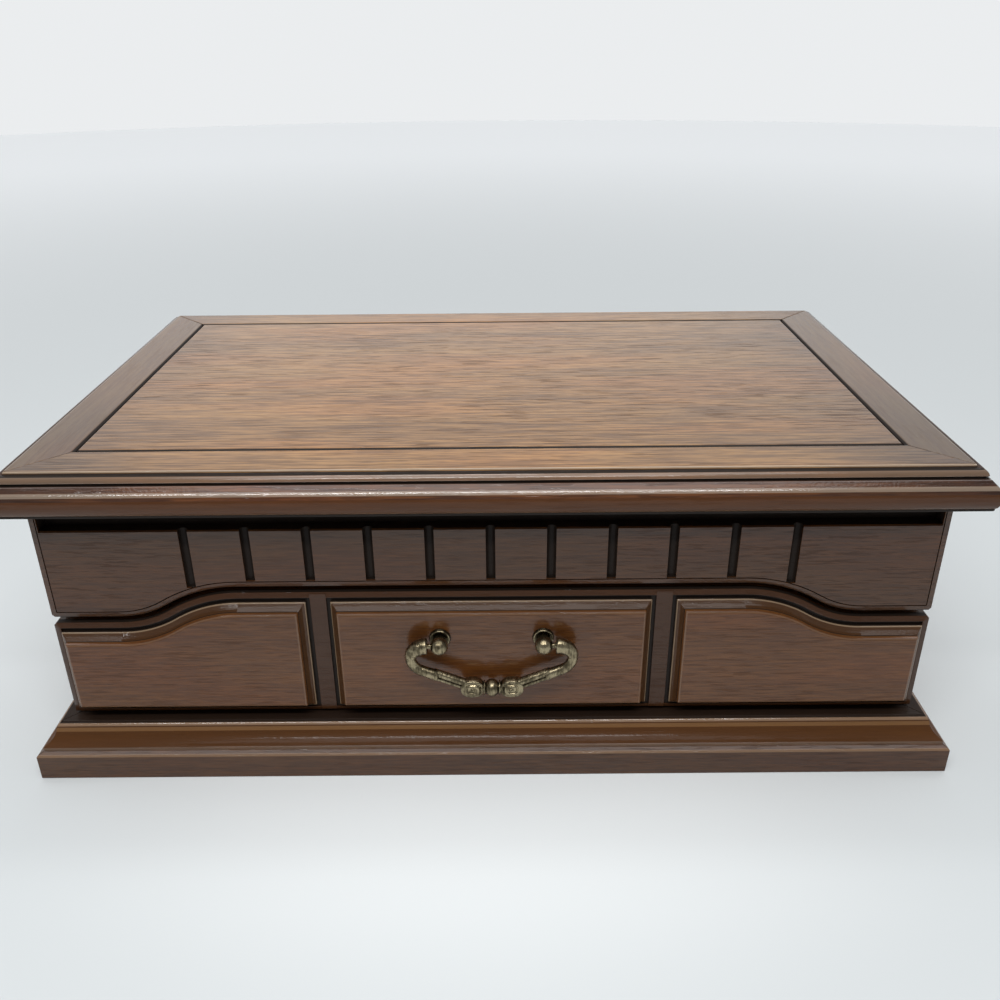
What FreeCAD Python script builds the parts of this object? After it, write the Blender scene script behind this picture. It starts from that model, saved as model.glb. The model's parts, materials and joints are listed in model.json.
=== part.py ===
import FreeCAD, Part
import math
import os
from FreeCAD import Vector

# Wooden jewellery box: hinged lid, fixed fluted front with a waved lower edge, one full-width
# drawer with three raised panels and a swinging bail pull, mitred base moulding.
# Millimetres, +Z up, the front faces -Y. The origin is under the middle of the whole box.

# Case
case_width = 325.4
case_depth = 193.0
case_top = 111.0
side_thickness = 10.0
back_thickness = 10.0
front_thickness = 12.0
board_groove = 3.0
board_fit = 0.1

# Base moulding: flat top, bead, cove, step, sloping ledge and upright plinth
base_projection = 12.6
base_height = 21.0
base_top_flat = 4.2
base_rail_inner = 10.0
plinth_height = 10.8
plinth_arris = 0.6
ledge_rise = 0.9
cove_foot_out = 10.4
cove_foot_height = 12.9
cove_head_out = 5.7
cove_head_height = 19.3
cove_sag = 0.8
bead_out = 5.0
bead_height = 20.3
bottom_thickness = 4.0
bottom_rebate = 6.0

# Waved line between the fluted front and the drawer: flat ends, a tight low arc, a wide high arc
wave_low_height = 65.5
wave_rise = 12.4
wave_outer_inset = 25.6
wave_inner_inset = 69.8
wave_low_radius = 33.5
wave_gap = 2.5
corner_cut = 0.9
least_corner_cut = 0.15

# Fluted front
front_edge_width = 2.1
front_edge_depth = 0.6
front_field_step = 0.2
front_quirk_width = 0.5
front_quirk_depth = 1.0
flute_count = 11
flute_spacing = 21.8
flute_width = 3.4
flute_depth = 2.4
flute_foot_margin = 2.7
shadow_rebate_height = 9.4
shadow_rebate_depth = 6.0
shadow_rebate_margin = 2.9
shadow_rebate_arris = 0.5

# Upper compartment
floor_thickness = 3.0
floor_above_wave = 2.3
lining_thickness = 1.2
lining_below_rim = 1.0
lining_clearance = 0.2
divider_thickness = 4.0
divider_height = 20.0
front_row_depth = 84.0
ring_cell_width = 118.0
back_cell_width = 98.0
ring_roll_count = 5
ring_roll_height = 17.0
ring_groove_height = 9.0
ring_roll_end_radius = 7.0
cushion_clearance = 0.4

# Lid
lid_gap = 0.3
lid_thickness = 15.0
lid_side_inset = 0.7
lid_face_overhang = 3.3
lid_rail_face = 17.7
lid_arris = 0.4
lid_fillet_drop = 1.1
lid_bead_foot_out = 6.6
lid_bead_drop = 3.3
lid_bead_round_out = 0.8
lid_bead_round_up = 0.7
lid_quirk_depth = 0.8
lid_quirk_height = 0.7
lid_nose_head_out = 7.1
lid_nose_shoulder_out = 9.5
lid_nose_shoulder_drop = 6.3
lid_nose_out = 10.7
lid_nose_drop = 9.8
lid_nose_foot_out = 9.8
lid_nose_foot_rise = 1.2
lid_foot_out = 9.4
lid_lip = 6.0
lid_panel_thickness = 6.0
panel_groove_chamfer = 0.8
panel_groove_gap = 0.3
mirror_thickness = 3.0
mirror_clearance = 0.5
mirror_bead_width = 6.0
mirror_bead_height = 5.0
mirror_bead_round = 0.3

# Hinges
hinge_inset = 57.7
hinge_length = 36.0
leaf_reach = 8.5
leaf_thickness = 1.0
knuckle_radius = 2.2
knuckle_offset = 1.2
knuckle_gap = 0.3
knuckle_clearance = 0.35
leaf_clearance = 0.1
hinge_pin_radius = 1.0
hinge_pin_clearance = 0.05
screw_spacing = 22.0
screw_inset = 4.8
screw_radius = 1.0
screw_head_radius = 1.9
screw_head_height = 0.8
screw_length = 9.0
screw_clearance = 0.05

# Drawer
drawer_lift = 1.2
drawer_slide_gap = 0.3
drawer_side_play = 0.4
drawer_side_top = 57.0
drawer_side_thickness = 8.0
drawer_back_thickness = 8.0
drawer_rear_gap = 2.0
drawer_front_housing = 4.0
drawer_bottom_thickness = 3.0
drawer_bottom_lift = 3.0
drawer_pad_thickness = 1.5
drawer_pad_clearance = 0.5
drawer_edge_width = 1.9
drawer_edge_depth = 0.6
post_top_ease = 0.5
kicker_width = 8.0
kicker_height = 6.0
kicker_rear_gap = 8.0

# Raised panels on the drawer front
post_inset = 102.1
post_width = 6.0
panel_top_margin = 3.6
panel_end_margin = 2.4
panel_bottom_margin = 2.9
panel_groove_width = 1.5
panel_seat_depth = 1.0
panel_side_height = 0.4
panel_cove_width = 2.5
panel_cove_rise = 2.7
panel_cove_hollow = 0.40
panel_step_rise = 0.9
panel_round = 1.0

# Pull
pull_centres = 38.0
pull_height = 58.8
collar_radius = 4.1
collar_thickness = 1.3
collar_rim = 0.5
head_stand = 5.4
head_radius = 3.3
head_steps = 8
neck_radius = 2.4
shank_radius = 1.9
shank_clearance = 0.1
shank_beyond_nut = 1.2
washer_radius = 4.5
washer_thickness = 0.8
nut_across_flats = 7.0
nut_thickness = 3.0

# Bail: pins into the heads, swelling ears, tapering arms, two scroll blocks and a centre bead
bail_pin_radius = 1.0
bail_pin_clearance = 0.06
bail_pin_depth = 2.4
bail_ear_gap = 1.2
bail_half_width = 31.6
bail_ear_radius = 2.8
bail_side_radius = 1.7
bail_side_drop = 5.0
bail_elbow_radius = 6.0
bail_arm_slope = 23.0
bail_bend_steps = 6
bail_elbow_steps = 4
bail_sleeve_length = 6.6
bail_sleeve_radius = 1.8
reed_upper_radius = 1.0
reed_lower_radius = 0.8
reed_spacing = 1.35
bail_drop = 18.6
scroll_x = 6.3
scroll_radius = 3.5
scroll_tail_x = 9.4
scroll_tail_radius = 2.3
scroll_tail_lift = 0.7
scroll_thickness = 4.4
scroll_crown = 0.5
rosette_radius = 1.7
rosette_depth = 0.7
rosette_pip_radius = 0.8
centre_bead_radius = 3.3
centre_bead_width = 4.4
centre_bead_steps = 4
bead_collar_radius = 2.1

# Places worked out from the sizes above
half_width = case_width / 2
front_y = -case_depth / 2
rear_y = case_depth / 2
inner_x = half_width - side_thickness
wave_outer_x = half_width - wave_outer_inset
wave_inner_x = half_width - wave_inner_inset
hinge_x = half_width - hinge_inset
post_inner_x = half_width - post_inset
inner_front_y = front_y + front_thickness
inner_rear_y = rear_y - back_thickness
wave_high_height = wave_low_height + wave_rise
wave_turn = 2 * math.atan2(wave_rise, wave_outer_x - wave_inner_x)
wave_high_radius = (wave_outer_x - wave_inner_x) / math.sin(wave_turn) - wave_low_radius
compartment_z = wave_high_height + floor_above_wave
compartment_top = compartment_z + floor_thickness
field_top = case_top - shadow_rebate_height
lid_bottom = case_top + lid_gap
lid_top = lid_bottom + lid_thickness
lid_inner_out = lid_face_overhang - lid_rail_face
hinge_y = rear_y + knuckle_offset
hinge_z = case_top + lid_gap / 2
drawer_z = base_height + drawer_lift
drawer_front_thickness = front_thickness - drawer_slide_gap
drawer_inner_y = front_y + drawer_front_thickness
drawer_rear_y = inner_rear_y - drawer_rear_gap
drawer_box_z = base_height + drawer_slide_gap
drawer_half_width = inner_x - drawer_side_play
drawer_bottom_z = drawer_box_z + drawer_bottom_lift
drawer_bottom_top = drawer_bottom_z + drawer_bottom_thickness
panel_raise = panel_side_height + panel_cove_rise + panel_step_rise + panel_round
panel_face_y = front_y - panel_raise
head_y = panel_face_y - head_stand
centre_panel_x = post_inner_x - panel_groove_width
side_panel_x = post_inner_x + post_width + panel_groove_width
side_panel_end = half_width - panel_end_margin
panel_z = drawer_z + panel_bottom_margin


def block(x0, x1, y0, y1, z0, z1):
    """A squared board between two corners."""
    return Part.makeBox(x1 - x0, y1 - y0, z1 - z0, Vector(x0, y0, z0))


def rod(start, direction, radius, length):
    """A round bar from a start point along a direction."""
    return Part.makeCylinder(radius, length, start, direction)


def join(shapes):
    """Fuse touching shapes into one clean solid."""
    whole = shapes[0]
    for shape in shapes[1:]:
        whole = whole.fuse(shape)
    return whole.removeSplitter()


def cut_all(shape, cutters):
    """Take every cutter out of a shape."""
    for cutter in cutters:
        shape = shape.cut(cutter)
    return shape


def closed_wire(start, moves, place):
    """A closed wire in a plane. A move (end,) is straight, and a move (through, end) is an arc."""
    edges = []
    here = start
    for move in moves:
        end = move[-1]
        if len(move) == 1:
            edges.append(Part.LineSegment(place(here), place(end)).toShape())
        else:
            edges.append(Part.Arc(place(here), place(move[0]), place(end)).toShape())
        here = end
    return Part.Wire(edges)


def extruded(wire, travel):
    """The solid that a closed wire sweeps along a straight travel."""
    return Part.Face(wire).extrude(travel)


def write(name, shape):
    """Save one piece under its own name."""
    shape.exportStep("parts/" + name + ".step")


def mitred_side(profile, half_case, other_half, outermost, innermost, turn):
    """One length of a mitred frame round the case, turned about the case's middle.

    The profile gives a wire for the plane x = 0 of a length whose case face is at y = -half_case.
    """
    reach = half_case + outermost
    run = other_half + outermost
    width = outermost - innermost
    bar = extruded(profile(half_case), Vector(2 * run, 0, 0))
    bar.translate(Vector(-run, 0, 0))
    low = bar.BoundBox.ZMin - width
    tall = bar.BoundBox.ZLength + 2 * width
    corners = [(-run, -reach), (run, -reach), (run - width, width - reach), (width - run, width - reach)]
    plan = Part.makePolygon([Vector(x, y, low) for x, y in corners + corners[:1]])
    length = bar.common(extruded(plan, Vector(0, 0, tall)))
    length.rotate(Vector(0, 0, 0), Vector(0, 0, 1), turn)
    return length


def mitred_frame(profile, outermost, innermost, inset=0.0, side_inset=0.0):
    """The four lengths of a mitred frame as front, right, back and left."""
    deep = case_depth / 2 - inset
    wide = half_width - inset - side_inset
    sizes = [(deep, wide), (wide, deep), (deep, wide), (wide, deep)]
    lengths = []
    for turn, (near, other) in enumerate(sizes):
        lengths.append(mitred_side(profile, near, other, outermost, innermost, 90 * turn))
    return lengths


def profile_place(half_case):
    """Maps (distance out from the case face, height) into the plane x = 0 of a front length."""
    return lambda point: Vector(0, -half_case - point[0], point[1])


def base_profile(half_case):
    """Section of the base moulding."""
    lip = base_height - bottom_thickness
    cove_middle_out = (cove_foot_out + cove_head_out) / 2 - cove_sag
    cove_middle_height = (cove_foot_height + cove_head_height) / 2 - cove_sag
    ledge_out = base_projection - plinth_arris
    moves = [
        ((base_projection, 0),),
        ((base_projection, plinth_height - plinth_arris),),
        ((ledge_out, plinth_height),),
        ((cove_foot_out, plinth_height + ledge_rise),),
        ((cove_foot_out, cove_foot_height),),
        ((cove_middle_out, cove_middle_height), (cove_head_out, cove_head_height)),
        ((bead_out, bead_height),),
        ((base_top_flat, bead_height),),
        ((base_top_flat, base_height),),
        ((bottom_rebate - base_rail_inner, base_height),),
        ((bottom_rebate - base_rail_inner, lip),),
        ((-base_rail_inner, lip),),
        ((-base_rail_inner, 0),),
    ]
    return closed_wire((-base_rail_inner, 0), moves, profile_place(half_case))


def lid_profile(half_case):
    """Section of a lid rail: arris, bead, quirk, large nose and a narrow foot."""
    bead_top = lid_top - lid_fillet_drop
    bead_foot = lid_top - lid_bead_drop
    quirk_foot = bead_foot - lid_quirk_height
    bead_head_out = lid_face_overhang + lid_arris
    bead_mid = (
        bead_head_out + lid_bead_round_out * (lid_bead_foot_out - bead_head_out),
        bead_foot + lid_bead_round_up * (bead_top - bead_foot),
    )
    shoulder = (lid_nose_shoulder_out, lid_top - lid_nose_shoulder_drop)
    nose = (lid_nose_out, lid_top - lid_nose_drop)
    rebate = lid_top - lid_panel_thickness
    moves = [
        ((lid_foot_out, lid_bottom),),
        ((lid_foot_out, lid_bottom + lid_nose_foot_rise),),
        ((lid_nose_foot_out, lid_bottom + lid_nose_foot_rise),),
        (nose, shoulder),
        ((lid_nose_head_out, quirk_foot),),
        ((lid_bead_foot_out - lid_quirk_depth, quirk_foot),),
        ((lid_bead_foot_out - lid_quirk_depth, bead_foot),),
        ((lid_bead_foot_out, bead_foot),),
        (bead_mid, (bead_head_out, bead_top)),
        ((lid_face_overhang, bead_top),),
        ((lid_face_overhang, lid_top - lid_arris),),
        ((lid_face_overhang - lid_arris, lid_top),),
        ((lid_inner_out + panel_groove_chamfer, lid_top),),
        ((lid_inner_out, lid_top - panel_groove_chamfer),),
        ((lid_inner_out, rebate),),
        ((lid_inner_out - lid_lip, rebate),),
        ((lid_inner_out - lid_lip, lid_bottom),),
    ]
    return closed_wire((lid_inner_out - lid_lip, lid_bottom), moves, profile_place(half_case))


def mirror_bead_profile(half_case):
    """Quarter-round bead that holds the mirror, against the lid lip and the glass."""
    top = lid_top - lid_panel_thickness - mirror_thickness
    foot = top - mirror_bead_height
    middle = (-mirror_bead_width * (1 - mirror_bead_round), foot + mirror_bead_height * mirror_bead_round)
    moves = [
        ((0, top),),
        ((-mirror_bead_width, top),),
        (middle, (0, foot)),
    ]
    return closed_wire((0, foot), moves, profile_place(half_case))


def front_place(y):
    """Maps (x, z) into the upright plane at a given y."""
    return lambda point: Vector(point[0], y, point[1])


def wave_arcs(drop):
    """The right-hand wave, inner end first, at a square distance below the waved line."""
    high_radius = wave_high_radius - drop
    low_radius = wave_low_radius + drop
    high_centre = (wave_inner_x, wave_high_height - wave_high_radius)
    low_centre = (wave_outer_x, wave_low_height + wave_low_radius)

    def on_high(angle):
        return high_centre[0] + high_radius * math.sin(angle), high_centre[1] + high_radius * math.cos(angle)

    def on_low(angle):
        return low_centre[0] - low_radius * math.sin(angle), low_centre[1] - low_radius * math.cos(angle)

    return [
        (on_high(wave_turn / 2), on_high(wave_turn)),
        (on_low(wave_turn / 2), on_low(0)),
    ]


def mirrored(points):
    """Points turned over to the other side of the box."""
    return [(-x, z) for x, z in points]


def eased_corner(inset):
    """Leg of the cut-off corner of an outline that is drawn in, never less than a trace."""
    return max(least_corner_cut, corner_cut - inset * (2 - math.sqrt(2)))


def waved_top_moves(left_x, drop):
    """Moves along the whole waved line, from the right-hand flat to the left end."""
    arcs = wave_arcs(drop)
    middle_z = wave_high_height - drop
    outward = [(wave_inner_x, middle_z)]
    for arc in arcs:
        outward.extend(arc)
    moves = [((wave_outer_x, wave_low_height - drop),)]
    backward = outward[::-1]
    moves.append((backward[1], backward[2]))
    moves.append((backward[3], backward[4]))
    moves.append(((-wave_inner_x, middle_z),))
    left = mirrored(outward)
    moves.append((left[1], left[2]))
    moves.append((left[3], left[4]))
    moves.append(((left_x, wave_low_height - drop),))
    return moves


def fluted_front_wire(inset, y):
    """Outline of the fixed front, drawn in at the ends and along the waved edge."""
    x = half_width - inset
    cut = eased_corner(inset)
    low = wave_low_height + inset
    moves = [((x, low + cut),), ((x - cut, low),)]
    moves += waved_top_moves(cut - x, -inset)
    moves.append(((-x, low + cut),))
    moves.append(((-x, case_top),))
    moves.append(((x, case_top),))
    return closed_wire((x, case_top), moves, front_place(y))


def drawer_front_wire(inset, y):
    """Outline of the drawer front, drawn in all round."""
    x = half_width - inset
    cut = eased_corner(inset)
    drop = wave_gap + inset
    top = wave_low_height - drop
    moves = [((x, top - cut),), ((x - cut, top),)]
    moves += waved_top_moves(cut - x, drop)
    moves.append(((-x, top - cut),))
    moves.append(((-x, drawer_z + inset),))
    moves.append(((x, drawer_z + inset),))
    return closed_wire((x, drawer_z + inset), moves, front_place(y))


def side_panel_wire(inset, y):
    """Outline of the right-hand raised panel, drawn in all round."""
    inner = side_panel_x + inset
    outer = side_panel_end - inset
    drop = wave_gap + panel_top_margin + inset
    arcs = wave_arcs(drop)
    moves = [
        ((inner, wave_high_height - drop),),
        ((wave_inner_x, wave_high_height - drop),),
        arcs[0],
        arcs[1],
        ((outer, wave_low_height - drop),),
        ((outer, panel_z + inset),),
        ((inner, panel_z + inset),),
    ]
    return closed_wire((inner, panel_z + inset), moves, front_place(y))


def centre_panel_wire(inset, y):
    """Outline of the middle raised panel, drawn in all round."""
    x = centre_panel_x - inset
    top = wave_high_height - wave_gap - panel_top_margin - inset
    low = panel_z + inset
    moves = [((x, low),), ((x, top),), ((-x, top),), ((-x, low),)]
    return closed_wire((-x, low), moves, front_place(y))


def between(outline, inset_a, y_a, inset_b, y_b):
    """The solid between two outlines of the same shape, drawn in by different amounts."""
    return Part.makeLoft([outline(inset_a, y_a), outline(inset_b, y_b)], True, True)


def quirk_room(outline):
    """The narrow quirk between the field of the fixed front and the strip along its edge."""
    back = front_y + front_quirk_depth
    forward = Vector(0, -front_quirk_depth, 0)
    outer = extruded(outline(front_edge_width, back), forward)
    inner = extruded(outline(front_edge_width + front_quirk_width, back), forward)
    return outer.cut(inner)


def board_with_edge(outline, thickness, edge_width, edge_depth, field_step=0.0):
    """A front board whose field stands out a little from a bevelled edge."""
    strip_y = front_y + field_step
    edge_y = strip_y + edge_depth
    body = extruded(outline(0, edge_y), Vector(0, front_y + thickness - edge_y, 0))
    layers = [body, between(outline, 0, edge_y, edge_width, strip_y)]
    if field_step > 0:
        layers.append(extruded(outline(edge_width, front_y), Vector(0, field_step, 0)))
    return join(layers)


def raised_panel(outline):
    """A panel let into the board: square side, hollow moulding, small step and rounded field."""
    seat_y = front_y + panel_seat_depth
    side_y = front_y - panel_side_height
    cove_y = side_y - panel_cove_rise
    step_y = cove_y - panel_step_rise
    cove_inset = panel_cove_width / 2
    cove_mid_y = side_y - panel_cove_rise * panel_cove_hollow
    round_inset = panel_cove_width + panel_round * (1 - math.cos(math.pi / 4))
    round_y = step_y - panel_round * math.sin(math.pi / 4)
    face_inset = panel_cove_width + panel_round
    layers = [
        extruded(outline(0, seat_y), Vector(0, side_y - seat_y, 0)),
        between(outline, 0, side_y, cove_inset, cove_mid_y),
        between(outline, cove_inset, cove_mid_y, panel_cove_width, cove_y),
        extruded(outline(panel_cove_width, cove_y), Vector(0, step_y - cove_y, 0)),
        between(outline, panel_cove_width, step_y, round_inset, round_y),
        between(outline, round_inset, round_y, face_inset, panel_face_y),
    ]
    return join(layers)


def flipped(shape):
    """The same piece on the other side of the box."""
    return shape.mirror(Vector(0, 0, 0), Vector(1, 0, 0))


def wave_height_at(x):
    """Height of the waved line on its wide high arc, or on its flat middle."""
    beyond = max(0.0, abs(x) - wave_inner_x)
    beyond = min(beyond, wave_high_radius * math.sin(wave_turn))
    return wave_high_height - wave_high_radius + math.sqrt(wave_high_radius ** 2 - beyond ** 2)


def flute(x):
    """A round-bottomed flute with a square foot, open at the top into the shadow rebate."""
    radius = flute_width / 2
    low = wave_height_at(x) + flute_foot_margin
    centre_y = front_y + flute_depth - radius
    bottom = rod(Vector(x, centre_y, low), Vector(0, 0, 1), radius, field_top - low)
    return bottom.fuse(block(x - radius, x + radius, front_y, centre_y, low, field_top))


def shadow_rebate():
    """Room for the deep dark rebate under the lid, stopped short of both ends, with an eased lower edge."""
    end_x = half_width - shadow_rebate_margin
    rear = front_y + shadow_rebate_depth
    moves = [
        ((front_y, field_top - shadow_rebate_arris),),
        ((front_y + shadow_rebate_arris, field_top),),
        ((rear, field_top),),
        ((rear, case_top),),
    ]
    section = closed_wire((front_y, case_top), moves + [((front_y, case_top),)],
                          lambda point: Vector(-end_x, point[0], point[1]))
    return extruded(section, Vector(2 * end_x, 0, 0))


def floor_board():
    """Floor of the upper compartment, let into the grooves of all four walls."""
    reach = board_groove - board_fit
    return block(
        -inner_x - reach, inner_x + reach,
        inner_front_y - reach, inner_rear_y + reach,
        compartment_z, compartment_top,
    )


def floor_groove():
    """Room for the compartment floor in the walls round it."""
    return block(
        -inner_x - board_groove, inner_x + board_groove,
        inner_front_y - board_groove, inner_rear_y + board_groove,
        compartment_z - board_fit, compartment_top + board_fit,
    )


def build_fluted_front():
    board = board_with_edge(
        fluted_front_wire, front_thickness,
        front_edge_width, front_edge_depth, front_field_step,
    )
    first = -flute_spacing * (flute_count - 1) / 2
    flutes = [flute(first + flute_spacing * i) for i in range(flute_count)]
    rooms = flutes + [shadow_rebate(), quirk_room(fluted_front_wire), floor_groove()]
    write("fluted_front", cut_all(board, rooms))


def build_case_walls():
    side = block(inner_x, half_width, inner_front_y, rear_y, base_height, case_top)
    side = side.cut(floor_groove())
    write("case_side_right", side)
    write("case_side_left", flipped(side))
    back = block(-inner_x, inner_x, inner_rear_y, rear_y, base_height, case_top)
    back = cut_all(back, [floor_groove()] + [hinge_room(x) for x in hinge_places()])
    back = cut_all(back, [screw_hole(x, y, -1) for x, y in screw_places()])
    write("case_back", back)
    write("compartment_floor", floor_board())


def build_base():
    names = ["base_front", "base_right", "base_back", "base_left"]
    for name, rail in zip(names, mitred_frame(base_profile, base_projection, -base_rail_inner)):
        write(name, rail)
    inset = base_rail_inner - bottom_rebate + board_fit
    board = block(
        -half_width + inset, half_width - inset,
        front_y + inset, rear_y - inset,
        base_height - bottom_thickness, base_height,
    )
    write("bottom_board", board)


def build_kickers():
    low = drawer_side_top + drawer_slide_gap
    kicker = block(
        inner_x - kicker_width, inner_x,
        inner_front_y, inner_rear_y - kicker_rear_gap,
        low, low + kicker_height,
    )
    write("drawer_kicker_right", kicker)
    write("drawer_kicker_left", flipped(kicker))


def lining_room():
    """Corners of the space inside the compartment lining."""
    return (
        inner_x - lining_thickness,
        inner_front_y + lining_thickness,
        inner_rear_y - lining_thickness,
        compartment_top + lining_thickness,
    )


def build_compartment():
    room_x, room_front, room_rear, room_floor = lining_room()
    lining_top = case_top - lining_below_rim
    skin = block(-inner_x, inner_x, inner_front_y, inner_rear_y, compartment_top, lining_top)
    hollow = block(-room_x, room_x, room_front, room_rear, room_floor, case_top)
    write("compartment_lining", skin.cut(hollow))
    divider_front = room_front + front_row_depth
    divider_rear = divider_front + divider_thickness
    divider_top = room_floor + divider_height
    end_x = room_x - lining_clearance
    write("divider_long", block(-end_x, end_x, divider_front, divider_rear, room_floor, divider_top))
    front_y0 = room_front + lining_clearance
    ring_x = -room_x + ring_cell_width
    ring_end = ring_x + divider_thickness
    write("divider_ring_cell", block(ring_x, ring_end, front_y0, divider_front, room_floor, divider_top))
    back_y1 = room_rear - lining_clearance
    back_x = room_x - back_cell_width
    back_divider = block(back_x - divider_thickness, back_x, divider_rear, back_y1, room_floor, divider_top)
    write("divider_back_right", back_divider)
    write("divider_back_left", flipped(back_divider))
    build_ring_cushion(-room_x, ring_x, room_front, divider_front, room_floor)


def build_ring_cushion(x0, x1, y0, y1, floor):
    """Ring cushion: parallel crowned rolls with a narrow slot between them, drawn in at the ends."""
    left = x0 + cushion_clearance
    right = x1 - cushion_clearance
    near = y0 + cushion_clearance
    pitch = (y1 - y0 - 2 * cushion_clearance) / ring_roll_count
    low = floor + ring_groove_height
    high = floor + ring_roll_height
    moves = [((near + pitch * ring_roll_count, floor),)]
    here = near + pitch * ring_roll_count
    moves.append(((here, low),))
    for _ in range(ring_roll_count):
        moves.append(((here - pitch / 2, high), (here - pitch, low)))
        here -= pitch
    moves.append(((near, floor),))
    along = closed_wire((near, floor), moves, lambda point: Vector(left, point[0], point[1]))
    rolls = extruded(along, Vector(right - left, 0, 0))
    bend = ring_roll_end_radius
    slant = bend * (1 - math.sqrt(0.5))
    ends = [
        ((right, floor),),
        ((right, high - bend),),
        ((right - slant, high - slant), (right - bend, high)),
        ((left + bend, high),),
        ((left + slant, high - slant), (left, high - bend)),
        ((left, floor),),
    ]
    across = closed_wire((left, floor), ends, lambda point: Vector(point[0], y0, point[1]))
    write("ring_cushion", rolls.common(extruded(across, Vector(0, y1 - y0, 0))))


def build_lid():
    rails = mitred_frame(lid_profile, lid_nose_out, lid_inner_out - lid_lip, side_inset=lid_side_inset)
    rails[2] = cut_all(rails[2], [hinge_room(x) for x in hinge_places()])
    rails[2] = cut_all(rails[2], [screw_hole(x, y, 1) for x, y in screw_places()])
    for name, rail in zip(["lid_rail_front", "lid_rail_right", "lid_rail_back", "lid_rail_left"], rails):
        write(name, rail)
    inset = -lid_inner_out + panel_groove_gap
    low = lid_top - lid_panel_thickness
    panel_x = half_width - lid_side_inset - inset
    panel = block(-panel_x, panel_x, front_y + inset, rear_y - inset, low, lid_top)
    top_edges = [edge for edge in panel.Edges if edge.BoundBox.ZMin > lid_top - board_fit]
    write("lid_panel", panel.makeChamfer(panel_groove_chamfer, top_edges))


def build_mirror():
    glass_top = lid_top - lid_panel_thickness
    lip_inset = lid_lip - lid_inner_out
    inset = lip_inset + mirror_clearance
    glass_x = half_width - lid_side_inset - inset
    glass = block(
        -glass_x, glass_x,
        front_y + inset, rear_y - inset,
        glass_top - mirror_thickness, glass_top,
    )
    write("lid_mirror", glass)
    beads = mitred_frame(mirror_bead_profile, 0.0, -mirror_bead_width, lip_inset, lid_side_inset)
    names = ["mirror_bead_front", "mirror_bead_right", "mirror_bead_back", "mirror_bead_left"]
    for name, bead in zip(names, beads):
        write(name, bead)


def hinge_places():
    """Middle of each hinge across the box."""
    return [-hinge_x, hinge_x]


def screw_places():
    """Plan position of each hinge screw."""
    y = rear_y - screw_inset
    return [(x + side * screw_spacing / 2, y) for x in hinge_places() for side in (-1, 1)]


def hinge_room(x):
    """Mortise for both leaves of a hinge and the round hollow for its knuckle."""
    half = hinge_length / 2 + leaf_clearance
    leaves = block(
        x - half, x + half,
        rear_y - leaf_reach - leaf_clearance, hinge_y,
        case_top - leaf_thickness, lid_bottom + leaf_thickness,
    )
    radius = knuckle_radius + knuckle_clearance
    barrel = rod(Vector(x - half, hinge_y, hinge_z), Vector(1, 0, 0), radius, 2 * half)
    return leaves.fuse(barrel)


def screw_hole(x, y, upward):
    """Pilot hole for a hinge screw, up into the lid or down into the back."""
    start = hinge_z
    radius = screw_radius + screw_clearance
    return rod(Vector(x, y, start), Vector(0, 0, upward), radius, screw_length + lid_gap + leaf_thickness)


def hinge_leaf(x, upward):
    """One leaf with its knuckles: two outer ones on the case leaf, the middle one on the lid leaf."""
    half = hinge_length / 2
    share = hinge_length / 3
    z0 = lid_bottom if upward > 0 else case_top - leaf_thickness
    plate = block(x - half, x + half, rear_y - leaf_reach, hinge_y, z0, z0 + leaf_thickness)
    middle = [(x - share / 2, x + share / 2)]
    outer = [(x - half, x - share / 2), (x + share / 2, x + half)]
    spans, others = (middle, outer) if upward > 0 else (outer, middle)
    knuckles = []
    for start, end in spans:
        a = start + (knuckle_gap / 2 if start > x - half else 0)
        b = end - (knuckle_gap / 2 if end < x + half else 0)
        knuckles.append(rod(Vector(a, hinge_y, hinge_z), Vector(1, 0, 0), knuckle_radius, b - a))
    for start, end in others:
        room = rod(
            Vector(start - knuckle_gap / 2, hinge_y, hinge_z), Vector(1, 0, 0),
            knuckle_radius + knuckle_clearance, end - start + knuckle_gap,
        )
        plate = plate.cut(room)
    leaf = join([plate] + knuckles)
    bore = rod(
        Vector(x - half, hinge_y, hinge_z), Vector(1, 0, 0),
        hinge_pin_radius + hinge_pin_clearance, hinge_length,
    )
    leaf = leaf.cut(bore)
    for sx, sy in screw_places():
        if abs(sx - x) < half:
            leaf = leaf.cut(hinge_screw(sx, sy, upward, screw_clearance))
    return leaf


def hinge_screw(x, y, upward, clearance=0.0):
    """Countersunk screw, its head flush with the open face of the leaf."""
    face = lid_bottom if upward > 0 else case_top
    radius = screw_radius + clearance
    head = Part.makeCone(
        screw_head_radius + clearance, radius, screw_head_height,
        Vector(x, y, face), Vector(0, 0, upward),
    )
    shank = rod(Vector(x, y, face), Vector(0, 0, upward), radius, screw_length)
    return head.fuse(shank).removeSplitter()


def build_hinges():
    for x, side in zip(hinge_places(), ["left", "right"]):
        write("hinge_" + side + "_case_leaf", hinge_leaf(x, -1))
        write("hinge_" + side + "_lid_leaf", hinge_leaf(x, 1))
        start = Vector(x - hinge_length / 2, hinge_y, hinge_z)
        write("hinge_" + side + "_pin", rod(start, Vector(1, 0, 0), hinge_pin_radius, hinge_length))
    for name, upward in (("case_hinge_screws", -1), ("lid_hinge_screws", 1)):
        write(name, Part.makeCompound([hinge_screw(x, y, upward) for x, y in screw_places()]))


def pull_places():
    """Middle of each pull post across the drawer."""
    return [-pull_centres / 2, pull_centres / 2]


def pull_holes():
    """Holes for the pull's shanks through the panel and the drawer front."""
    length = drawer_inner_y - panel_face_y
    radius = shank_radius + shank_clearance
    starts = [Vector(x, panel_face_y, pull_height) for x in pull_places()]
    return [rod(start, Vector(0, 1, 0), radius, length) for start in starts]


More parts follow.
